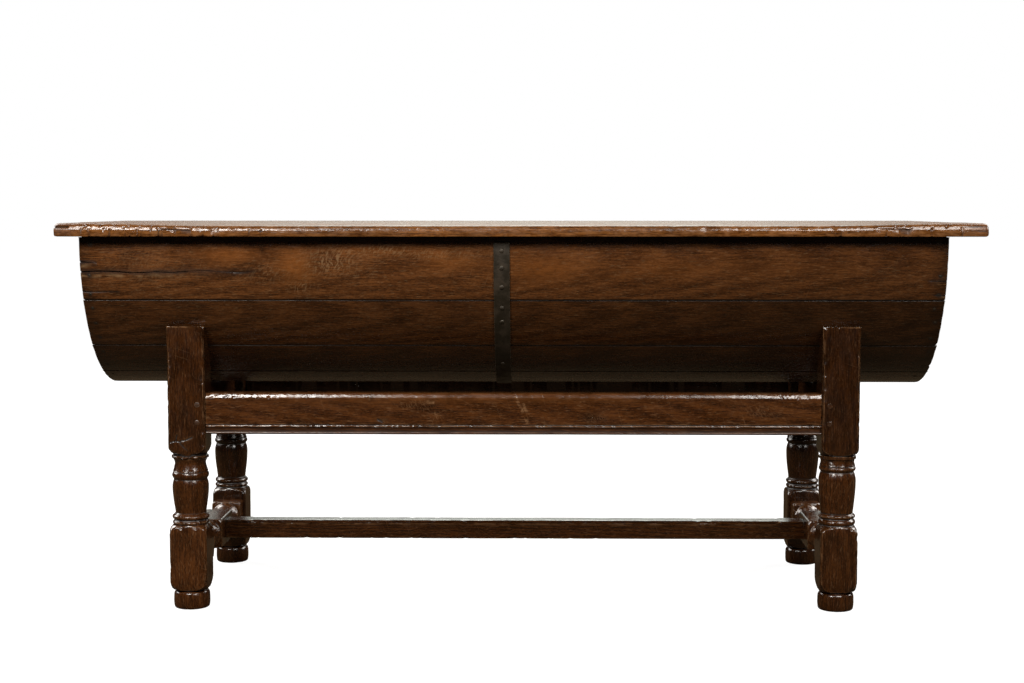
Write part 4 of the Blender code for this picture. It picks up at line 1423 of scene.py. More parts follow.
    def rub_edges(self, piece: Piece, low: Vector, high: Vector, front: bool, back: bool) -> None:
        """Marks the outer edges as rubbed, more so towards the ends, and darkens parts of them."""
        reach = self.worn[-1][0]
        for vert in piece.bm.verts:
            outside = (front and vert.co.y < low.y + reach) or (back and vert.co.y > high.y - reach)
            if not outside:
                continue
            middle, ends = self.rubbed
            rubbed = middle + ends * smooth_step(abs(vert.co.x + 0.08), *self.rubbed_span)
            vert[piece.wear] = clamp(vert[piece.wear], rubbed, rubbed + 0.15)
            along = Vector((vert.co.x, 0, 0.2 * vert.co.z))
            middle, ends = self.edge_tone
            tone = middle - ends * smooth_step(abs(vert.co.x), *self.edge_tone_span)
            tone *= 1 + 0.30 * wobble(along, 0.11, 6.6) + 0.14 * wobble(along, 0.022, 2.6)
            vert[piece.tone] *= tone

    def dull_ends(self, piece: Piece, low: Vector, high: Vector) -> None:
        """Leaves the ends of a board less polished than the rest of its edges."""
        least, more = self.dull
        for vert in piece.bm.verts:
            near = min(vert.co.x - low.x, high.x - vert.co.x)
            most = least + more * smooth_step(near, *self.dull_span)
            vert[piece.wear] = min(vert[piece.wear], most)

    def split_end(self, piece: Piece, low: Vector, high: Vector) -> None:
        """An open split in the left end of the front board, and shorter ones along its edge."""
        z = high.z - 0.0080
        y = low.y + 0.0028
        line = [(low.x, y + 0.04, z), (low.x + 0.002, y, z), (low.x + 0.030, y, z + 0.0008)]
        piece.score(line, width=0.0030, depth=0.0045, pale=0.8)
        for start, end, drop in ((-0.70, -0.64, 0.003), (0.71, 0.77, 0.002)):
            line = [(start, y - 0.002, z - drop), (end, y - 0.002, z - drop - 0.003)]
            piece.score(line, width=0.0024, depth=0.0020, pale=0.5)

    def round_ends(self, bm: Mesh, low: Vector, high: Vector, front: bool, back: bool) -> None:
        """Thins a board towards its ends, and draws its outer corners in.

        Args:
            bm: The board's mesh.
            low: Lowest corner of the board.
            high: Highest corner.
            front: Whether the lid's outside lies at the board's front.
            back: Whether it lies at the board's back.
        """
        half = (high.z - low.z) / 2
        middle = (high.z + low.z) / 2
        for vert in bm.verts:
            leftward = vert.co.x < (low.x + high.x) / 2
            near = vert.co.x - low.x if leftward else high.x - vert.co.x
            radius = self.end_rounds[0 if leftward else 1]
            if near >= radius:
                continue
            inset = end_inset(near, radius)
            vert.co.z = middle + (vert.co.z - middle) * (1 - inset / half)
            if front:
                vert.co.y += inset * (1 - smooth_step(vert.co.y, low.y, low.y + 0.05))
            if back:
                vert.co.y -= inset * smooth_step(vert.co.y, high.y - 0.05, high.y)

    def build_batten(self, side: Side) -> None:
        """A batten under the boards, across them."""
        name = f"lid_batten_{side.word}"
        low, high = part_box(name)
        top, bottom = (quarter_round(radius) for radius in self.batten_ease)
        outline = [(low.y + deep, high.z - across) for across, deep in reversed(top)]
        outline += [(high.y - deep, high.z - across) for across, deep in top]
        outline += [(high.y - across, low.z + deep) for across, deep in bottom]
        outline += [(low.y + across, low.z + deep) for across, deep in reversed(bottom)]
        bm = round_bar(outline, (low.x, high.x), 12, self.batten_rim)
        piece = Piece(f"lid_{side.word}_batten", bm)
        piece.shade(self.batten_tone)
        piece.lay_grain(lambda co: Vector((co.y, co.x - low.x, co.z - low.z)), 52 + side.value)
        piece.find_edges(low=90.0, high=260.0)
        piece.make(self.wood, Body.LID, Slot.LID, [name])

    def build_nails(self) -> None:
        """Nails through the boards into the battens."""
        picked = random.Random(12)
        places = []
        for side in Side:
            low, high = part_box(f"lid_batten_{side.word}")
            for board in self.boards:
                first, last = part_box(f"lid_board_{board}")
                for share in self.nail_shares:
                    x = (low.x + high.x) / 2 + picked.uniform(-0.014, 0.014)
                    y = first.y + (last.y - first.y) * share + picked.uniform(-0.008, 0.008)
                    y = clamp(y, low.y + self.nail_margin, high.y - self.nail_margin)
                    size = Matrix.Scale(picked.uniform(0.8, 1.0), 4)
                    places.append(Matrix.Translation((x, y, last.z - 0.0014)) @ size)
        piece = Piece("lid_nails", join_copies(make_nail(*self.nail_size, self.nail_stub, 4), places))
        piece.make(self.iron, Body.LID, Slot.IRON, [])


# The stand


@dataclass(frozen=True)
class Turning:
    """How one leg was turned: heights from the floor, low and high, then radii."""

    fillet: Pair = (0.3097, 0.3182)  # thin ring under the post
    ring: Pair = (0.2787, 0.2892)
    vase: Pair = (0.1990, 0.2767)
    lower_ring: Pair = (0.1865, 0.1970)
    collar: Pair = (0.1765, 0.1845)
    neck: float = 0.0326
    belly: float = 0.0376
    waist: float = 0.0320  # at the foot of the vase


@dataclass
class Legs:
    """Four legs, squared at their joints and turned between."""

    wood: Material
    trough: Trough
    section: float = 0.0765
    spread: float = 1.3226  # between the legs' axes along X
    post_inset: float = 0.043  # of the posts' faces from the front of the barrel
    post_top_thickness: float = 0.0135
    post: Pair = (0.3195, 0.3357)  # where its shoulder starts, and where it is square
    block: Pair = (0.059, 0.160)
    block_shoulder: float = 0.0145
    corner: float = 0.0024  # taken off the squared corners
    ring: float = 0.0380
    quirk: float = 0.0350
    belly_share: float = 0.78
    vase_top: float = 0.0340
    neck_share: float = 0.64  # where the neck is narrowest, from the ring below it
    ankle: float = 0.0340
    foot: tuple[Point, ...] = (
        (0.0000, 0.0000),
        (0.0318, 0.0000),
        (0.0340, 0.0007),
        (0.0355, 0.0024),
        (0.0364, 0.0056),
        (0.0370, 0.0110),
        (0.0371, 0.0165),
        (0.0370, 0.0220),
        (0.0367, 0.0280),
        (0.0361, 0.0318),
        (0.0350, 0.0338),
    )
    turnings: tuple[Turning, ...] = (
        Turning(
            fillet=(0.3094, 0.3168),
            ring=(0.2690, 0.2823),
            vase=(0.1980, 0.2668),
            lower_ring=(0.1838, 0.1949),
            collar=(0.1745, 0.1818),
            neck=0.0318,
            belly=0.0371,
            waist=0.0313,
        ),
        Turning(
            fillet=(0.3102, 0.3192),
            ring=(0.2869, 0.2965),
            vase=(0.1997, 0.2849),
            lower_ring=(0.1893, 0.1987),
            collar=(0.1762, 0.1875),
            neck=0.0343,
            belly=0.0380,
            waist=0.0327,
        ),
        Turning(),
        Turning(ring=(0.2815, 0.2920), vase=(0.1990, 0.2795)),
    )
    tones: tuple[Triple, ...] = (
        (1.0, 0.95, 0.60),
        (0.68, 0.92, 0.42),
        (0.55, 0.55, 0.50),
        (0.50, 0.50, 0.45),
    )  # of each leg's block, vase and post: the posts darker, with painted shade on the right front leg and the back legs
    sides: tuple[int, int] = (184, 112)  # of the front and the back legs
    post_steps: tuple[int, int] = (130, 60)
    leans: Triple = (0.100, 0.055, 0.085)  # of the faces at the foot, above the block and under the post
    vase_tone: Pair = (0.150, 0.200)  # heights where the tone turns into the vase's
    post_tone: Pair = (0.280, 0.345)
    post_wear: float = 0.75  # along the tops of the posts
    cracks: tuple[tuple[Point, ...], ...] = (
        (
            (-0.038, 0.3440),
            (-0.022, 0.3480),
            (-0.015, 0.3470),
            (-0.009, 0.3390),
            (-0.002, 0.3320),
            (0.004, 0.3270),
        ),
        ((-0.015, 0.3470), (-0.001, 0.3500), (0.012, 0.3560)),
        ((-0.022, 0.3480), (-0.019, 0.3600)),
    )  # low on the left front post, as (x, z) from the leg's axis and the floor

    @property
    def half(self) -> float:
        """Half the width of a leg."""
        return self.section / 2

    @property
    def y(self) -> float:
        """How far the legs' axes lie from the middle of the table."""
        return self.trough.radius - self.post_inset - self.half

    @property
    def post_top(self) -> float:
        """Height of the top of the posts."""
        reach = self.trough.radius
        return self.trough.rim - math.sqrt(reach**2 - (self.y + self.half - self.post_top_thickness) ** 2)

    def vase_curve(self, turning: Turning) -> list[Point]:
        """The swelling part of a leg, with its belly near the top."""
        share = self.belly_share

        def radius_at(t: float) -> float:
            """The radius a share of the way up."""
            if t < share:
                swell = math.sin(math.pi / 2 * t / share) ** 1.15
                return turning.waist + (turning.belly - turning.waist) * swell
            return turning.belly - (turning.belly - self.vase_top) * ((t - share) / (1 - share)) ** 2.0

        return draw_curve(*turning.vase, 30, radius_at)

    def neck_curve(self, turning: Turning) -> list[Point]:
        """The hollow above a leg's ring, which flares down to it."""
        low = turning.ring[1] + 0.0006
        high = turning.fillet[0] - 0.0006
        share = self.neck_share
        flare = self.ring - 0.0014 - turning.neck

        def radius_at(t: float) -> float:
            """The radius a share of the way up."""
            if t < share:
                return turning.neck + flare * (1 - t / share) ** 1.4
            return turning.neck + (self.quirk - turning.neck) * ((t - share) / (1 - share)) ** 2.0

        return draw_curve(low, high, 18, radius_at)

    def fillet(self, low: float, high: float) -> list[Point]:
        """A thin ring with a flat edge."""
        edge = self.ring + 0.0002
        return [
            (self.quirk, low),
            (edge - 0.0008, low + 0.0008),
            (edge, low + 0.0020),
            (edge, high - 0.0020),
            (edge - 0.0008, high - 0.0008),
            (self.quirk, high),
        ]

    def profile(self, turning: Turning, front: bool) -> list[Point]:
        """The outline of a leg from the floor up, with the squared parts left wider than the wood."""
        square = self.half * math.sqrt(2) - self.corner
        low, high = self.block
        foot_top = self.foot[-1][1]
        shoulder, post = self.post
        steps = self.post_steps[0 if front else 1]
        return [
            *self.foot,
            (self.ankle - 0.0004, foot_top + 0.0018),
            *shoulder_curve(foot_top + 0.0038, low, self.ankle, square),
            *[(square, height) for height in steps_between(low, high, 34)[1:-1]],
            *shoulder_curve(high, high + self.block_shoulder, square, self.half - self.corner),
            *bead_curve(*turning.collar, self.quirk, self.ring),
            *bead_curve(*turning.lower_ring, self.quirk - 0.0010, self.ring),
            *self.vase_curve(turning),
            *bead_curve(*turning.ring, self.quirk, self.ring - 0.0003, 9),
            *self.neck_curve(turning),
            *self.fillet(*turning.fillet),
            *shoulder_curve(shoulder, post, self.quirk, square),
            *[(square, height) for height in steps_between(post, self.post_top - 0.002, steps)[1:]],
            (square - 0.0010, self.post_top - 0.0006),
            (square - 0.0030, self.post_top),
            (0.0, self.post_top),
        ]

    def ease_faces(self, bm: Mesh) -> None:
        """Rounds the squared faces over towards the turned parts."""
        low, high = self.block
        foot_top = self.foot[-1][1] + 0.003
        shoulder, post = self.post
        at_foot, at_block, at_post = self.leans
        for vert in bm.verts:
            height = vert.co.z
            inward = 0.0
            if foot_top < height < low + 0.004:
                inward = at_foot * (1 - (height - foot_top) / (low + 0.004 - foot_top)) ** 2
            elif high - 0.002 < height <= high + self.block_shoulder:
                inward = at_block * ((height - high + 0.002) / (self.block_shoulder + 0.002)) ** 2
            elif shoulder <= height < post:
                inward = at_post * (1 - (height - shoulder) / (post - shoulder)) ** 2
            vert.co.x *= 1 - inward
            vert.co.y *= 1 - inward

    def build(self) -> None:
        """Makes and dresses the four legs."""
        for number, (depth, side) in enumerate(product(Depth, Side), 1):
            self.build_leg(depth, side, number)

    def build_leg(self, depth: Depth, side: Side, number: int) -> None:
        """One leg, its post thinned to sit against the trough."""
        front = depth is Depth.FRONT
        profile = self.profile(self.turnings[number - 1], front)
        bm = turn_on_lathe(profile, self.sides[0 if front else 1])
        square_up(bm, self.half)
        self.ease_faces(bm)
        axis = Vector((self.trough.middle + side.value * self.spread / 2, depth.value * self.y, 0))
        bmesh.ops.translate(bm, vec=axis, verts=bm.verts)
        self.hollow_post(bm, depth)
        piece = Piece(f"{depth.word}_{side.word}_leg", bm)
        piece.lay_grain(lambda co: Vector((co.z, co.x - axis.x, co.y - axis.y)), 80 + number)
        self.shade_leg(piece, self.tones[number - 1])
        piece.find_edges(low=130.0, high=420.0)
        piece.wear_down(9.7 + number, waves=0.0006, dents=0.0005, edges=0.0011, stretch=(1.0, 1.0, 0.5))
        piece.nick(90 + number, 110, radius=(0.003, 0.009), depth=(0.0005, 0.0020), dark=0.25)
        for vert in piece.bm.verts:
            if vert.co.z > self.post_top - 0.0035:
                vert[piece.wear] = max(vert[piece.wear], self.post_wear)
        if number == 1:
            self.crack_post(piece, axis)
        name = f"leg_{depth.word}_{side.word}"
        piece.make(self.wood, Body.STAND, Slot.STAND, [name])

    def shade_leg(self, piece: Piece, tones: Sequence[float]) -> None:
        """Darkens a leg from its foot to its post, which also paints shade on the right front leg and the
        back legs.
        """
        block, vase, post = tones
        for vert in piece.bm.verts:
            tone = block + (vase - block) * smooth_step(vert.co.z, *self.vase_tone)
            tone += (post - tone) * smooth_step(vert.co.z, *self.post_tone)
            vert[piece.tone] = tone

    def crack_post(self, piece: Piece, axis: Vector) -> None:
        """Short cracks low on the front of one post."""
        face = axis.y - self.half
        for line in self.cracks:
            piece.score([(axis.x + x, face, z) for x, z in line], width=0.0025, depth=0.0016, pale=0.25)

    def hollow_post(self, bm: Mesh, depth: Depth) -> None:
        """Squeezes the upper part of a leg in front of the barrel."""
        reach = self.trough.radius + self.trough.fit
        face = self.y + self.half
        for vert in bm.verts:
            drop = self.trough.rim - vert.co.z
            if drop >= reach:
                continue
            edge = math.sqrt(reach**2 - drop**2)
            if edge <= self.y - self.half:
                continue
            share = (face - edge) / self.section
            vert.co.y = depth.value * (face - (face - depth.value * vert.co.y) * share)


@dataclass
class Rails:
    """Moulded rails at the front and back, and hollowed rails at the ends that cradle the trough."""

    wood: Material
    trough: Trough
    arris: tuple[Point, ...] = (
        (0.0000, 0.0098),
        (0.0004, 0.0086),
        (0.0011, 0.0068),
        (0.0019, 0.0049),
        (0.0028, 0.0030),
        (0.0040, 0.0014),
        (0.0057, 0.0005),
        (0.0080, 0.0000),
    )  # the worn upper edge, as how far in from the face and how far below the top
    bead: float = 0.006
    cove: float = 0.009
    fillet: float = 0.003
    quirk: float = 0.0025
    moulding: float = 0.005  # depth
    step: float = 0.001
    thickness: float = 0.036
    back_eases: Pair = (0.002, 0.003)  # of the lower and upper edges away from the moulding
    rim: float = 0.0006
    rail_steps: tuple[int, int] = (720, 260)  # along the front and the back rail
    cradle_ease: float = 0.002
    cradle_rim: float = 0.0025
    cradle_tone: float = 0.8
    rubbed: Pair = (0.04, 0.56)  # wear of the upper edge in the middle, and how much more at the ends
    rubbed_span: Pair = (0.35, 0.60)  # how far out that starts and is full
    moulding_grime: float = 0.45
    moulding_wear: float = 0.5
    moulding_tone: float = 1.5
    spot_depth: float = 0.1
    spots: tuple[Spot, ...] = (
        Spot(Layer.TONE, -0.273, 0.390, 0.012, 0.007, -0.60),
        Spot(Layer.TONE, -0.296, 0.436, 0.008, 0.008, -0.45),
        Spot(Layer.TONE, -0.172, 0.427, 0.012, 0.012, -0.45),
        Spot(Layer.TONE, -0.205, 0.415, 0.026, 0.020, -0.22),
        Spot(Layer.TONE, 0.151, 0.398, 0.020, 0.010, -0.50),
        Spot(Layer.FIGURE, -0.205, 0.424, 0.034, 0.014, 0.40),
        Spot(Layer.FIGURE, -0.165, 0.400, 0.014, 0.010, 0.45),
        Spot(Layer.FIGURE, -0.267, 0.386, 0.008, 0.005, 0.60),
        Spot(Layer.FIGURE, 0.500, 0.410, 0.040, 0.012, 0.30),
        Spot(Layer.FIGURE, 0.160, 0.396, 0.022, 0.008, 0.40),
        Spot(Layer.WARM, -0.20, 0.437, 0.16, 0.010, 0.45),
        Spot(Layer.WARM, 0.10, 0.437, 0.20, 0.010, 0.30),
        Spot(Layer.WARM, -0.45, 0.437, 0.10, 0.010, 0.25),
    )  # knots, scuffs and warm patches of the front rail
    scratches: tuple[Scratch, ...] = (
        Scratch(((-0.280, 0.392), (-0.272, 0.388)), 0.0036, 0.0016, 0.3),
        Scratch(((-0.180, 0.428), (-0.168, 0.427)), 0.0036, 0.0010, 1.0, 0.0),
        Scratch(((-0.300, 0.440), (-0.297, 0.434)), 0.0034, 0.0010, 1.0, 0.0),
        Scratch(((-0.002, 0.439), (0.012, 0.412), (0.024, 0.382)), 0.0040, 0.0008, 1.0, 0.0),
        Scratch(((0.014, 0.424), (0.026, 0.398)), 0.0036, 0.0007, 1.0, 0.0),
        Scratch(((0.149, 0.400), (0.155, 0.398)), 0.0034, 0.0010, 1.0, 0.0),
    )

    def build(self) -> None:
        """Makes and dresses the four rails."""
        for depth in Depth:
            self.build_rail(depth)
        for side in Side:
            self.build_cradle(side)

    def outline(self, face: float, low: float, high: float) -> list[Point]:
        """The section of the front rail, with its moulded face towards -Y."""
        back = face + self.thickness
        radius = self.bead / 2
        cove_low = low + self.bead
        cove_high = cove_low + self.cove
        fillet_high = cove_high + self.fillet
        lower, upper = (quarter_round(radius) for radius in self.back_eases)
        points = [(back - deep, low + across) for across, deep in reversed(lower)]
        points += [
            (face + radius * (1 - math.sin(t)), low + radius * (1 - math.cos(t)))
            for t in steps_between(0, math.pi, 8)
        ]
        points += [
            (face + self.step + (self.moulding - self.step) * math.cos(t), cove_low + self.cove * math.sin(t))
            for t in steps_between(0, math.pi / 2, 8)
        ]
        points.append((face + self.step, fillet_high))
        points.append((face + self.moulding / 2, fillet_high + self.quirk / 2))
        points.append((face, fillet_high + self.quirk))
        points += [(face, z) for z in steps_between(fillet_high + 2 * self.quirk, high - 0.0115, 22)]
        points += [(face + across, high - deep) for across, deep in self.arris]
        points += [(back - across, high - deep) for across, deep in reversed(upper)]
        return points

    def build_rail(self, depth: Depth) -> None:
        """A long rail between two posts."""
        name = f"{depth.word}_rail"
        low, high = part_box(name)
        reach = (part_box(f"leg_{depth.word}_left")[1].x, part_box(f"leg_{depth.word}_right")[0].x)
        face = low.y if depth is Depth.FRONT else -high.y
        steps = self.rail_steps[0 if depth is Depth.FRONT else 1]
        bm = round_bar(self.outline(face, low.z, high.z), reach, steps, self.rim)
        if depth is Depth.BACK:
            bmesh.ops.scale(bm, vec=(1, -1, 1), verts=bm.verts)
            face_out(bm)
        piece = Piece(f"{depth.word}_moulded_rail", bm)
        piece.lay_grain(lambda co: Vector((co.x, co.z - low.z, co.y)), 21 + depth.value)
        piece.find_edges(low=90.0, high=330.0)
        for vert in piece.bm.verts:
            if vert.co.z > high.z - 0.010 and abs(vert.co.y) > abs(face) - 0.008:
                middle, ends = self.rubbed
                rubbed = middle + ends * smooth_step(abs(vert.co.x), *self.rubbed_span)
                vert[piece.wear] = clamp(vert[piece.wear], rubbed, rubbed + 0.1)
            elif vert.co.z < low.z + self.bead + self.cove + self.fillet:
                vert[piece.grime] = max(vert[piece.grime], self.moulding_grime)
                vert[piece.wear] *= self.moulding_wear
                vert[piece.tone] *= self.moulding_tone
        piece.wear_down(14.0 + depth.value, waves=0.0005, dents=0.0003, edges=0.0010, stretch=(0.3, 1.0, 1.0))
        piece.nick(30 + depth.value, 60, radius=(0.0025, 0.007), depth=(0.0003, 0.0012), dark=0.2)
        small = (0.0012, 0.0030)
        piece.nick(130 + depth.value, 260, radius=small, depth=(0.0003, 0.0009), dark=0.3, drawn=2.0)
        if depth is Depth.FRONT:
            self.mark_front(piece, face)
        piece.make(self.wood, Body.STAND, Slot.STAND, [name])

    def mark_front(self, piece: Piece, face: float) -> None:
        """Knots, scuffs and scratches of the front rail."""
        piece.mark(face, self.spot_depth, self.spots)
        for mark in self.scratches:
            line = [(x, face, z) for x, z in mark.line]
            piece.score(line, mark.width, mark.depth, mark.pale, mark.dark)

    def build_cradle(self, side: Side) -> None:
        """A rail from front to back, hollowed to the barrel."""
        name = f"cradle_rail_{side.word}"
        low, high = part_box(name)
        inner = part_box(f"leg_front_{side.word}")[1].y
        reach = abs(inner)
        barrel = self.trough.radius + self.trough.fit
        land = math.asin((self.trough.rim - high.z) / barrel)
        arc = [self.trough.on_barrel(angle, barrel) for angle in steps_between(land, math.pi - land, 40)]
        ease = self.cradle_ease
        outline = [(reach, high.z), (reach, low.z + ease), (reach - ease, low.z)]
        outline += [(y, low.z) for y in steps_between(reach - 0.01, 0.01 - reach, 16)]
        outline += [(ease - reach, low.z), (-reach, low.z + ease), (-reach, high.z), *arc]
        bm = round_bar(outline, (low.x, high.x), 10, self.cradle_rim)
        piece = Piece(f"{side.word}_cradle", bm)
        piece.shade(self.cradle_tone)
        piece.lay_grain(lambda co: Vector((co.y, co.z - low.z, co.x - low.x)), 25 + side.value)
        piece.find_edges(low=130.0, high=420.0)
        piece.make(self.wood, Body.STAND, Slot.STAND, [name])


@dataclass
class Stretchers:
    """Turned stretchers at the ends, and the long one between them."""

    wood: Material
    legs: Legs
    axis: float = 0.119  # height
    section: float = 0.064
    block: float = 0.116  # length of the middle block
    end_block: float = 0.036
    shoulder: float = 0.007
    ring: Pair = (0.0312, 0.012)  # radius and width
    quirk: float = 0.0255
    neck: float = 0.0225
    corner: float = 0.0024  # taken off the squared corners
    sides: int = 72
    long_width: float = 0.046
    long_ease: float = 0.0025  # of the lower edges
    long_rim: float = 0.0006
    long_steps: int = 320
    long_tone: float = 0.72
    chamfer: float = 0.006
    chamfer_stop: float = 0.050
    chamfer_runout: float = 0.012

    def build(self) -> None:
        """Makes and dresses the three stretchers."""
        for side in Side:
            self.build_end(side)
        self.build_long()

    def profile(self) -> list[Point]:
        """The outline of an end stretcher from end to end."""
        half = self.section / 2
        square = half * math.sqrt(2) - self.corner
        end = self.legs.y - self.legs.half
        inner = self.block / 2 + self.shoulder
        end_block = end - self.end_block
        outer = end_block - self.shoulder - self.ring[1]
        points = [
            *[(square, height) for height in steps_between(0, self.block / 2, 14)[:-1]],
            *shoulder_curve(self.block / 2, inner, square, half),
            *bead_curve(inner, inner + self.ring[1], self.quirk, self.ring[0]),
            *bead_curve(inner + self.ring[1] + 0.002, outer - 0.002, self.ring[0], self.neck, 14),
            *bead_curve(outer, outer + self.ring[1], self.quirk, self.ring[0]),
            *shoulder_curve(end_block - self.shoulder, end_block, half, square),
            *[(square, height) for height in steps_between(end_block, end, 8)[1:]],
            (0.0, end),
        ]
        return [(radius, -height) for radius, height in reversed(points[1:])] + points

    def build_end(self, side: Side) -> None:
        """One turned stretcher from front to back."""
        bm = turn_on_lathe(self.profile(), self.sides)
        square_up(bm, self.section / 2)
        bmesh.ops.rotate(bm, cent=(0, 0, 0), matrix=Matrix.Rotation(math.pi / 2, 3, "X"), verts=bm.verts)
        middle = Vector((self.legs.trough.middle + side.value * self.legs.spread / 2, 0, self.axis))
        bmesh.ops.translate(bm, vec=middle, verts=bm.verts)
        piece = Piece(f"{side.word}_turned_stretcher", bm)
        piece.lay_grain(lambda co: Vector((co.y, co.x - middle.x, co.z - middle.z)), 44 + side.value)
        piece.find_edges(low=130.0, high=420.0)
        piece.wear_down(17.0 + side.value, waves=0.0006, dents=0.0004, edges=0.0011, stretch=(1.0, 0.5, 1.0))
        piece.nick(47 + side.value, 40, radius=(0.003, 0.009), depth=(0.0005, 0.0016), dark=0.2)
        piece.make(self.wood, Body.STAND, Slot.STAND, [f"end_stretcher_{side.word}"])

    def build_long(self) -> None:
        """The long stretcher, with stopped chamfers along its upper edges."""
        low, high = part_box("long_stretcher")
        half = self.long_width / 2
        reach = self.legs.spread / 2 - self.section / 2
        middle = self.legs.trough.middle
        ease = quarter_round(self.long_ease)
        top = [(-half + across, high.z - deep) for across, deep in quarter_round(self.chamfer, 5)]
        outline = [*top, *[(y, high.z) for y in steps_between(-half * 0.6, half * 0.6, 6)]]
        outline += [(-y, z) for y, z in reversed(top)]
        outline += [(half, z) for z in steps_between(high.z - 0.012, low.z + 0.004, 5)]
        outline += [(half - across, low.z + deep) for across, deep in ease]
        outline += [(y, low.z) for y in steps_between(half * 0.7, -half * 0.7, 5)]
        outline += [(across - half, low.z + deep) for across, deep in reversed(ease)]
        outline += [(-half, z) for z in steps_between(low.z + 0.004, high.z - 0.012, 5)]
        bm = round_bar(outline, (middle - reach, middle + reach), self.long_steps, self.long_rim)
        self.shape_chamfer(bm, high.z, half, middle, reach)
        piece = Piece("long_chamfered_stretcher", bm)
        piece.shade(self.long_tone)
        piece.lay_grain(lambda co: Vector((co.x, co.z - low.z, co.y)), 57)
        piece.find_edges(low=90.0, high=330.0)
        piece.wear_down(23.0, waves=0.0007, dents=0.0004, edges=0.0014, stretch=(0.3, 1.0, 1.0))
        piece.nick(58, 90, radius=(0.003, 0.010), depth=(0.0005, 0.0020), dark=0.2)
        piece.make(self.wood, Body.STAND, Slot.STAND, ["long_stretcher"])

    def shape_chamfer(self, bm: Mesh, top: float, half: float, middle: float, reach: float) -> None:
        """Turns the rounded upper corners into flat chamfers, which stop short of the ends.

        Args:
            bm: The stretcher's mesh.
            top: Height of its top.
            half: Half its width.
            middle: Its middle along X.
            reach: Half its length.
        """
        for vert in bm.verts:
            across = half - abs(vert.co.y)
            deep = top - vert.co.z
            if across > self.chamfer or deep > self.chamfer or across + deep > 1.01 * self.chamfer:
                continue
            from_end = reach - abs(vert.co.x - middle)
            cut = smooth_step(from_end, self.chamfer_stop, self.chamfer_stop + self.chamfer_runout)
            square_across = 0.0 if across < deep else across * 0.25
            square_deep = 0.0 if deep < across else deep * 0.25
            total = max(SMALL, across + deep)
            flat_across = self.chamfer * across / total
            flat_deep = self.chamfer * deep / total
            across = square_across + (flat_across - square_across) * cut
            deep = square_deep + (flat_deep - square_deep) * cut
            vert.co.y = math.copysign(half - across, vert.co.y)
            vert.co.z = top - deep


@dataclass
class Pegs:
    """Hand-cut pegs that pin the joints of the stand."""

    wood: Material
    radius: float = 0.0056
    proud: float = 0.0010
    shown: float = 0.0005  # what is left of that on the worn heads
    depth: float = 0.006

    def build(self, nodes: Iterable[str]) -> None:
        """Makes one mesh of all the peg heads."""
        names = sorted(name for name in nodes if name.startswith("peg_"))
        places = [self.place(name) for name in names]
        profile = [
            (0.0, -self.depth),
            (self.radius, -self.depth),
            (self.radius, self.shown - 0.0012),
            (self.radius - 0.0004, self.shown - 0.0005),
            (self.radius - 0.0012, self.shown - 0.0001),
            (self.radius * 0.5, self.shown),
            (0.0, self.shown),
        ]
        piece = Piece("stand_pegs", join_copies(turn_on_lathe(profile, 18), places))
        piece.lay_grain(lambda co: co.copy(), 3)
        piece.find_edges(low=200.0, high=900.0)
        for vert in piece.bm.verts:
            uneven = [wobble(vert.co, 0.004, seed) for seed in (1.0, 2.0, 3.0)]
            vert.co += Vector(uneven) * 0.0003
        piece.make(self.wood, Body.STAND, Slot.PEG, names)

    def place(self, name: str) -> Matrix:
        """Where the head of a CAD peg is, and which way it points."""
        low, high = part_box(name)
        middle = (low + high) / 2
        size = high - low
        axis = max(range(3), key=lambda index: size[index])
        out = Vector((0, 0, 0))
        out[axis] = -1.0 if axis == 2 or middle[axis] < 0 else 1.0
        head = middle.copy()
        head[axis] = low[axis] + self.proud if out[axis] < 0 else high[axis] - self.proud
        return Matrix.Translation(head) @ out.to_track_quat("Z", "Y").to_matrix().to_4x4()


# The studio


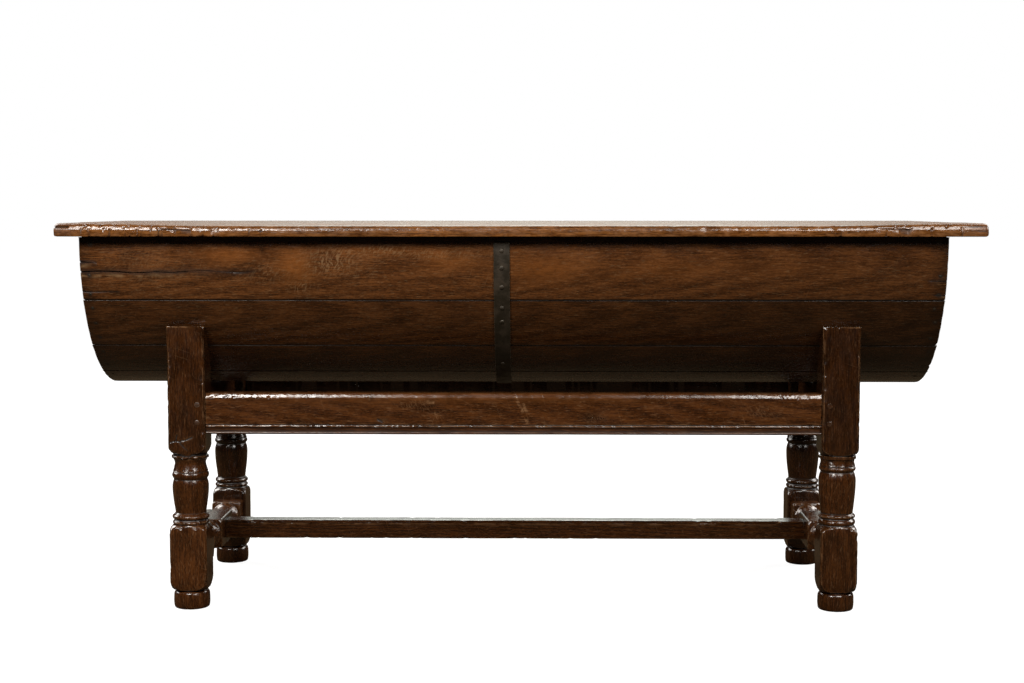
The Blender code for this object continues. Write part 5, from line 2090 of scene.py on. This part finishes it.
@dataclass
class Studio:
    """A pale floor, white surroundings, soft lights in front, behind and at the ends, and the camera."""

    camera_place: Triple = (0.0501, -3.7922, 0.8207)
    camera_turn: Triple = (math.pi / 2 - 0.0763, 0.0, 0.0166)
    lens: float = 61.65
    ambient: float = 0.022
    lamp_colour: Colour = (1.0, 0.97, 0.93)
    floor_radius: float = 40.0
    floor_glow: tuple[float, ...] = (0.7, 2.2, 0.89, 1.0)  # two distances, and the glow at each
    floor_white: Colour = (0.22, 0.22, 0.22)
    floor_bounce: Colour = (0.058, 0.042, 0.025)  # what it throws back on to the table
    paper: Colour = (0.95, 1.0, 0.92)  # of the wall behind the table, which shows only in what mirrors it
    paper_glow: tuple[float, ...] = (0.20, 0.30, 0.65, 3.8)  # two heights, and the glow at each
    paper_depth: Pair = (0.45, 0.70)  # where it starts and is full, as parts of the direction
    paper_sides: Pair = (0.10, 0.24)  # where it fades out to the sides
    lamps: tuple[tuple[Triple, float, float], ...] = (
        ((-1.30, -2.75, 2.45), 0.95, 122.0),
        ((1.40, -2.75, 2.45), 1.25, 90.0),
        ((-3.00, 2.60, 3.20), 1.80, 120.0),
        ((3.00, 2.60, 3.20), 1.80, 120.0),
        ((-4.20, 1.20, 2.20), 1.50, 105.0),
        ((4.20, 1.20, 2.20), 1.50, 105.0),
    )
    aim: Triple = (0.0, 0.0, 0.55)

    def build(self) -> None:
        """Makes the camera, the lights, the floor and the world."""
        scene = bpy.context.scene
        scene.view_settings.view_transform = "Standard"
        lens = bpy.data.cameras.new("camera")
        lens.lens = self.lens
        lens.sensor_width = SENSOR_WIDTH
        camera = bpy.data.objects.new("camera", lens)
        camera.location = self.camera_place
        camera.rotation_euler = self.camera_turn
        scene.collection.objects.link(camera)
        scene.camera = camera
        for number, (place, size, power) in enumerate(self.lamps, 1):
            self.add_lamp(f"softbox_{number}", place, size, power)
        self.add_floor()
        self.add_world()

    def add_lamp(self, name: str, place: Triple, size: float, power: float) -> None:
        """A square soft light that points at the table."""
        lamp = bpy.data.lights.new(name, "AREA")
        lamp.shape = "SQUARE"
        lamp.size = size
        lamp.energy = power
        lamp.color = self.lamp_colour
        obj = bpy.data.objects.new(name, lamp)
        obj.location = place
        obj.rotation_euler = (Vector(self.aim) - Vector(place)).to_track_quat("-Z", "Y").to_euler()
        bpy.context.scene.collection.objects.link(obj)

    def add_floor(self) -> None:
        """A wide white floor that keeps the table's shadow."""
        bm = bmesh.new()
        bmesh.ops.create_circle(bm, cap_ends=True, segments=96, radius=self.floor_radius)
        mesh = bpy.data.meshes.new("floor")
        bm.to_mesh(mesh)
        bm.free()
        recipe = Recipe("white_floor")
        place = recipe.node("ShaderNodeTexCoord").outputs["Object"]
        away = recipe.length(recipe.vector("MULTIPLY", place, (0.8, 1.0, 1.0)))
        glow = recipe.node("ShaderNodeEmission")
        recipe.feed(glow.inputs["Strength"], recipe.spread(away, *self.floor_glow))
        seen = recipe.node("ShaderNodeAddShader")
        recipe.feed(seen.inputs[0], glow.outputs[0])
        recipe.feed(seen.inputs[1], recipe.diffuse(self.floor_white))
        mixed = recipe.mix(recipe.watched(), recipe.diffuse(self.floor_bounce), seen.outputs[0])
        recipe.feed(recipe.tree.nodes["Material Output"].inputs["Surface"], mixed)
        recipe.tree.nodes.remove(recipe.shader)
        mesh.materials.append(recipe.material)
        floor = bpy.data.objects.new("floor", mesh)
        bpy.context.scene.collection.objects.link(floor)

    def add_world(self) -> None:
        """White where the camera looks, and bright behind the table for what it reflects."""
        world = bpy.data.worlds.new("studio")
        world.use_nodes = True
        bpy.context.scene.world = world
        nodes = Nodes(world.node_tree)
        plain = nodes.tree.nodes["Background"]
        plain.inputs["Color"].default_value = (self.ambient, self.ambient, self.ambient, 1.0)
        white = nodes.node("ShaderNodeBackground")
        white.inputs["Color"].default_value = (1.0, 1.0, 1.0, 1.0)
        paper = nodes.node("ShaderNodeBackground")
        paper.inputs["Color"].default_value = (*self.paper, 1.0)
        parts = nodes.node("ShaderNodeSeparateXYZ")
        nodes.feed(parts.inputs[0], nodes.node("ShaderNodeTexCoord").outputs["Generated"])
        x, y, z = parts.outputs
        nodes.feed(paper.inputs["Strength"], nodes.spread(z, *self.paper_glow, shape="LINEAR"))
        behind = nodes.spread(y, *self.paper_depth, shape="LINEAR")
        inside = nodes.spread(nodes.maths("ABSOLUTE", x), *self.paper_sides, 1.0, 0.0, shape="LINEAR")
        glossy = nodes.node("ShaderNodeLightPath").outputs["Is Glossy Ray"]
        mirrored = nodes.maths("MULTIPLY", glossy, nodes.maths("MULTIPLY", behind, inside))
        around = nodes.mix(mirrored, plain.outputs[0], paper.outputs[0])
        mixed = nodes.mix(nodes.watched(), around, white.outputs[0])
        nodes.feed(nodes.tree.nodes["World Output"].inputs["Surface"], mixed)


# The finish of each part


TROUGH_WOOD = WoodFinish(
    name="trough_wood",
    dark=(0.0235, 0.0072, 0.0018),
    brown=(0.0630, 0.0204, 0.0050),
    light=(0.1180, 0.0415, 0.0110),
    warm=(0.1650, 0.0520, 0.0095),
    rubbed=(0.2100, 0.1250, 0.0600),
    gloss=(0.20, 0.30),
    relief=0.5,
    mirror=0.45,
)
LID_WOOD = WoodFinish(
    name="lid_wood",
    dark=(0.0370, 0.0118, 0.0024),
    brown=(0.1060, 0.0360, 0.0072),
    light=(0.1850, 0.0690, 0.0155),
    warm=(0.2400, 0.0850, 0.0180),
    rubbed=(0.2150, 0.0980, 0.0380),
    gloss=(0.40, 0.50),
    relief=0.55,
    mirror=0.40,
    polish=0.50,
)
STAND_WOOD = WoodFinish(
    name="stand_wood",
    dark=(0.0145, 0.0042, 0.0009),
    brown=(0.0390, 0.0118, 0.0027),
    light=(0.0740, 0.0238, 0.0055),
    warm=(0.1250, 0.0420, 0.0090),
    rubbed=(0.1900, 0.1000, 0.0470),
    gloss=(0.14, 0.24),
    relief=0.5,
    mirror=0.5,
    polish=0.11,
)
PEG_WOOD = WoodFinish(
    name="peg_wood",
    dark=(0.0100, 0.0035, 0.0012),
    brown=(0.0250, 0.0090, 0.0029),
    light=(0.0480, 0.0180, 0.0058),
    warm=(0.0900, 0.0300, 0.0070),
    rubbed=(0.1300, 0.0720, 0.0360),
    gloss=(0.26, 0.40),
)
IRON = IronFinish(name="old_iron")


def main() -> None:
    """Builds the looks of the table round its CAD frame."""
    logging.basicConfig(level=logging.INFO, format="%(message)s")
    for obj in list(bpy.data.objects):
        bpy.data.objects.remove(obj, do_unlink=True)
    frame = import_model()
    iron = IRON.make()
    trough = Trough(TROUGH_WOOD.make(), iron)
    trough.build()
    Lid(LID_WOOD.make(), iron).build()
    stand_wood = STAND_WOOD.make()
    legs = Legs(stand_wood, trough)
    legs.build()
    Rails(stand_wood, trough).build()
    Stretchers(stand_wood, legs).build()
    Pegs(PEG_WOOD.make()).build(frame["nodes"])
    Studio().build()


if __name__ == "__main__":
    main()
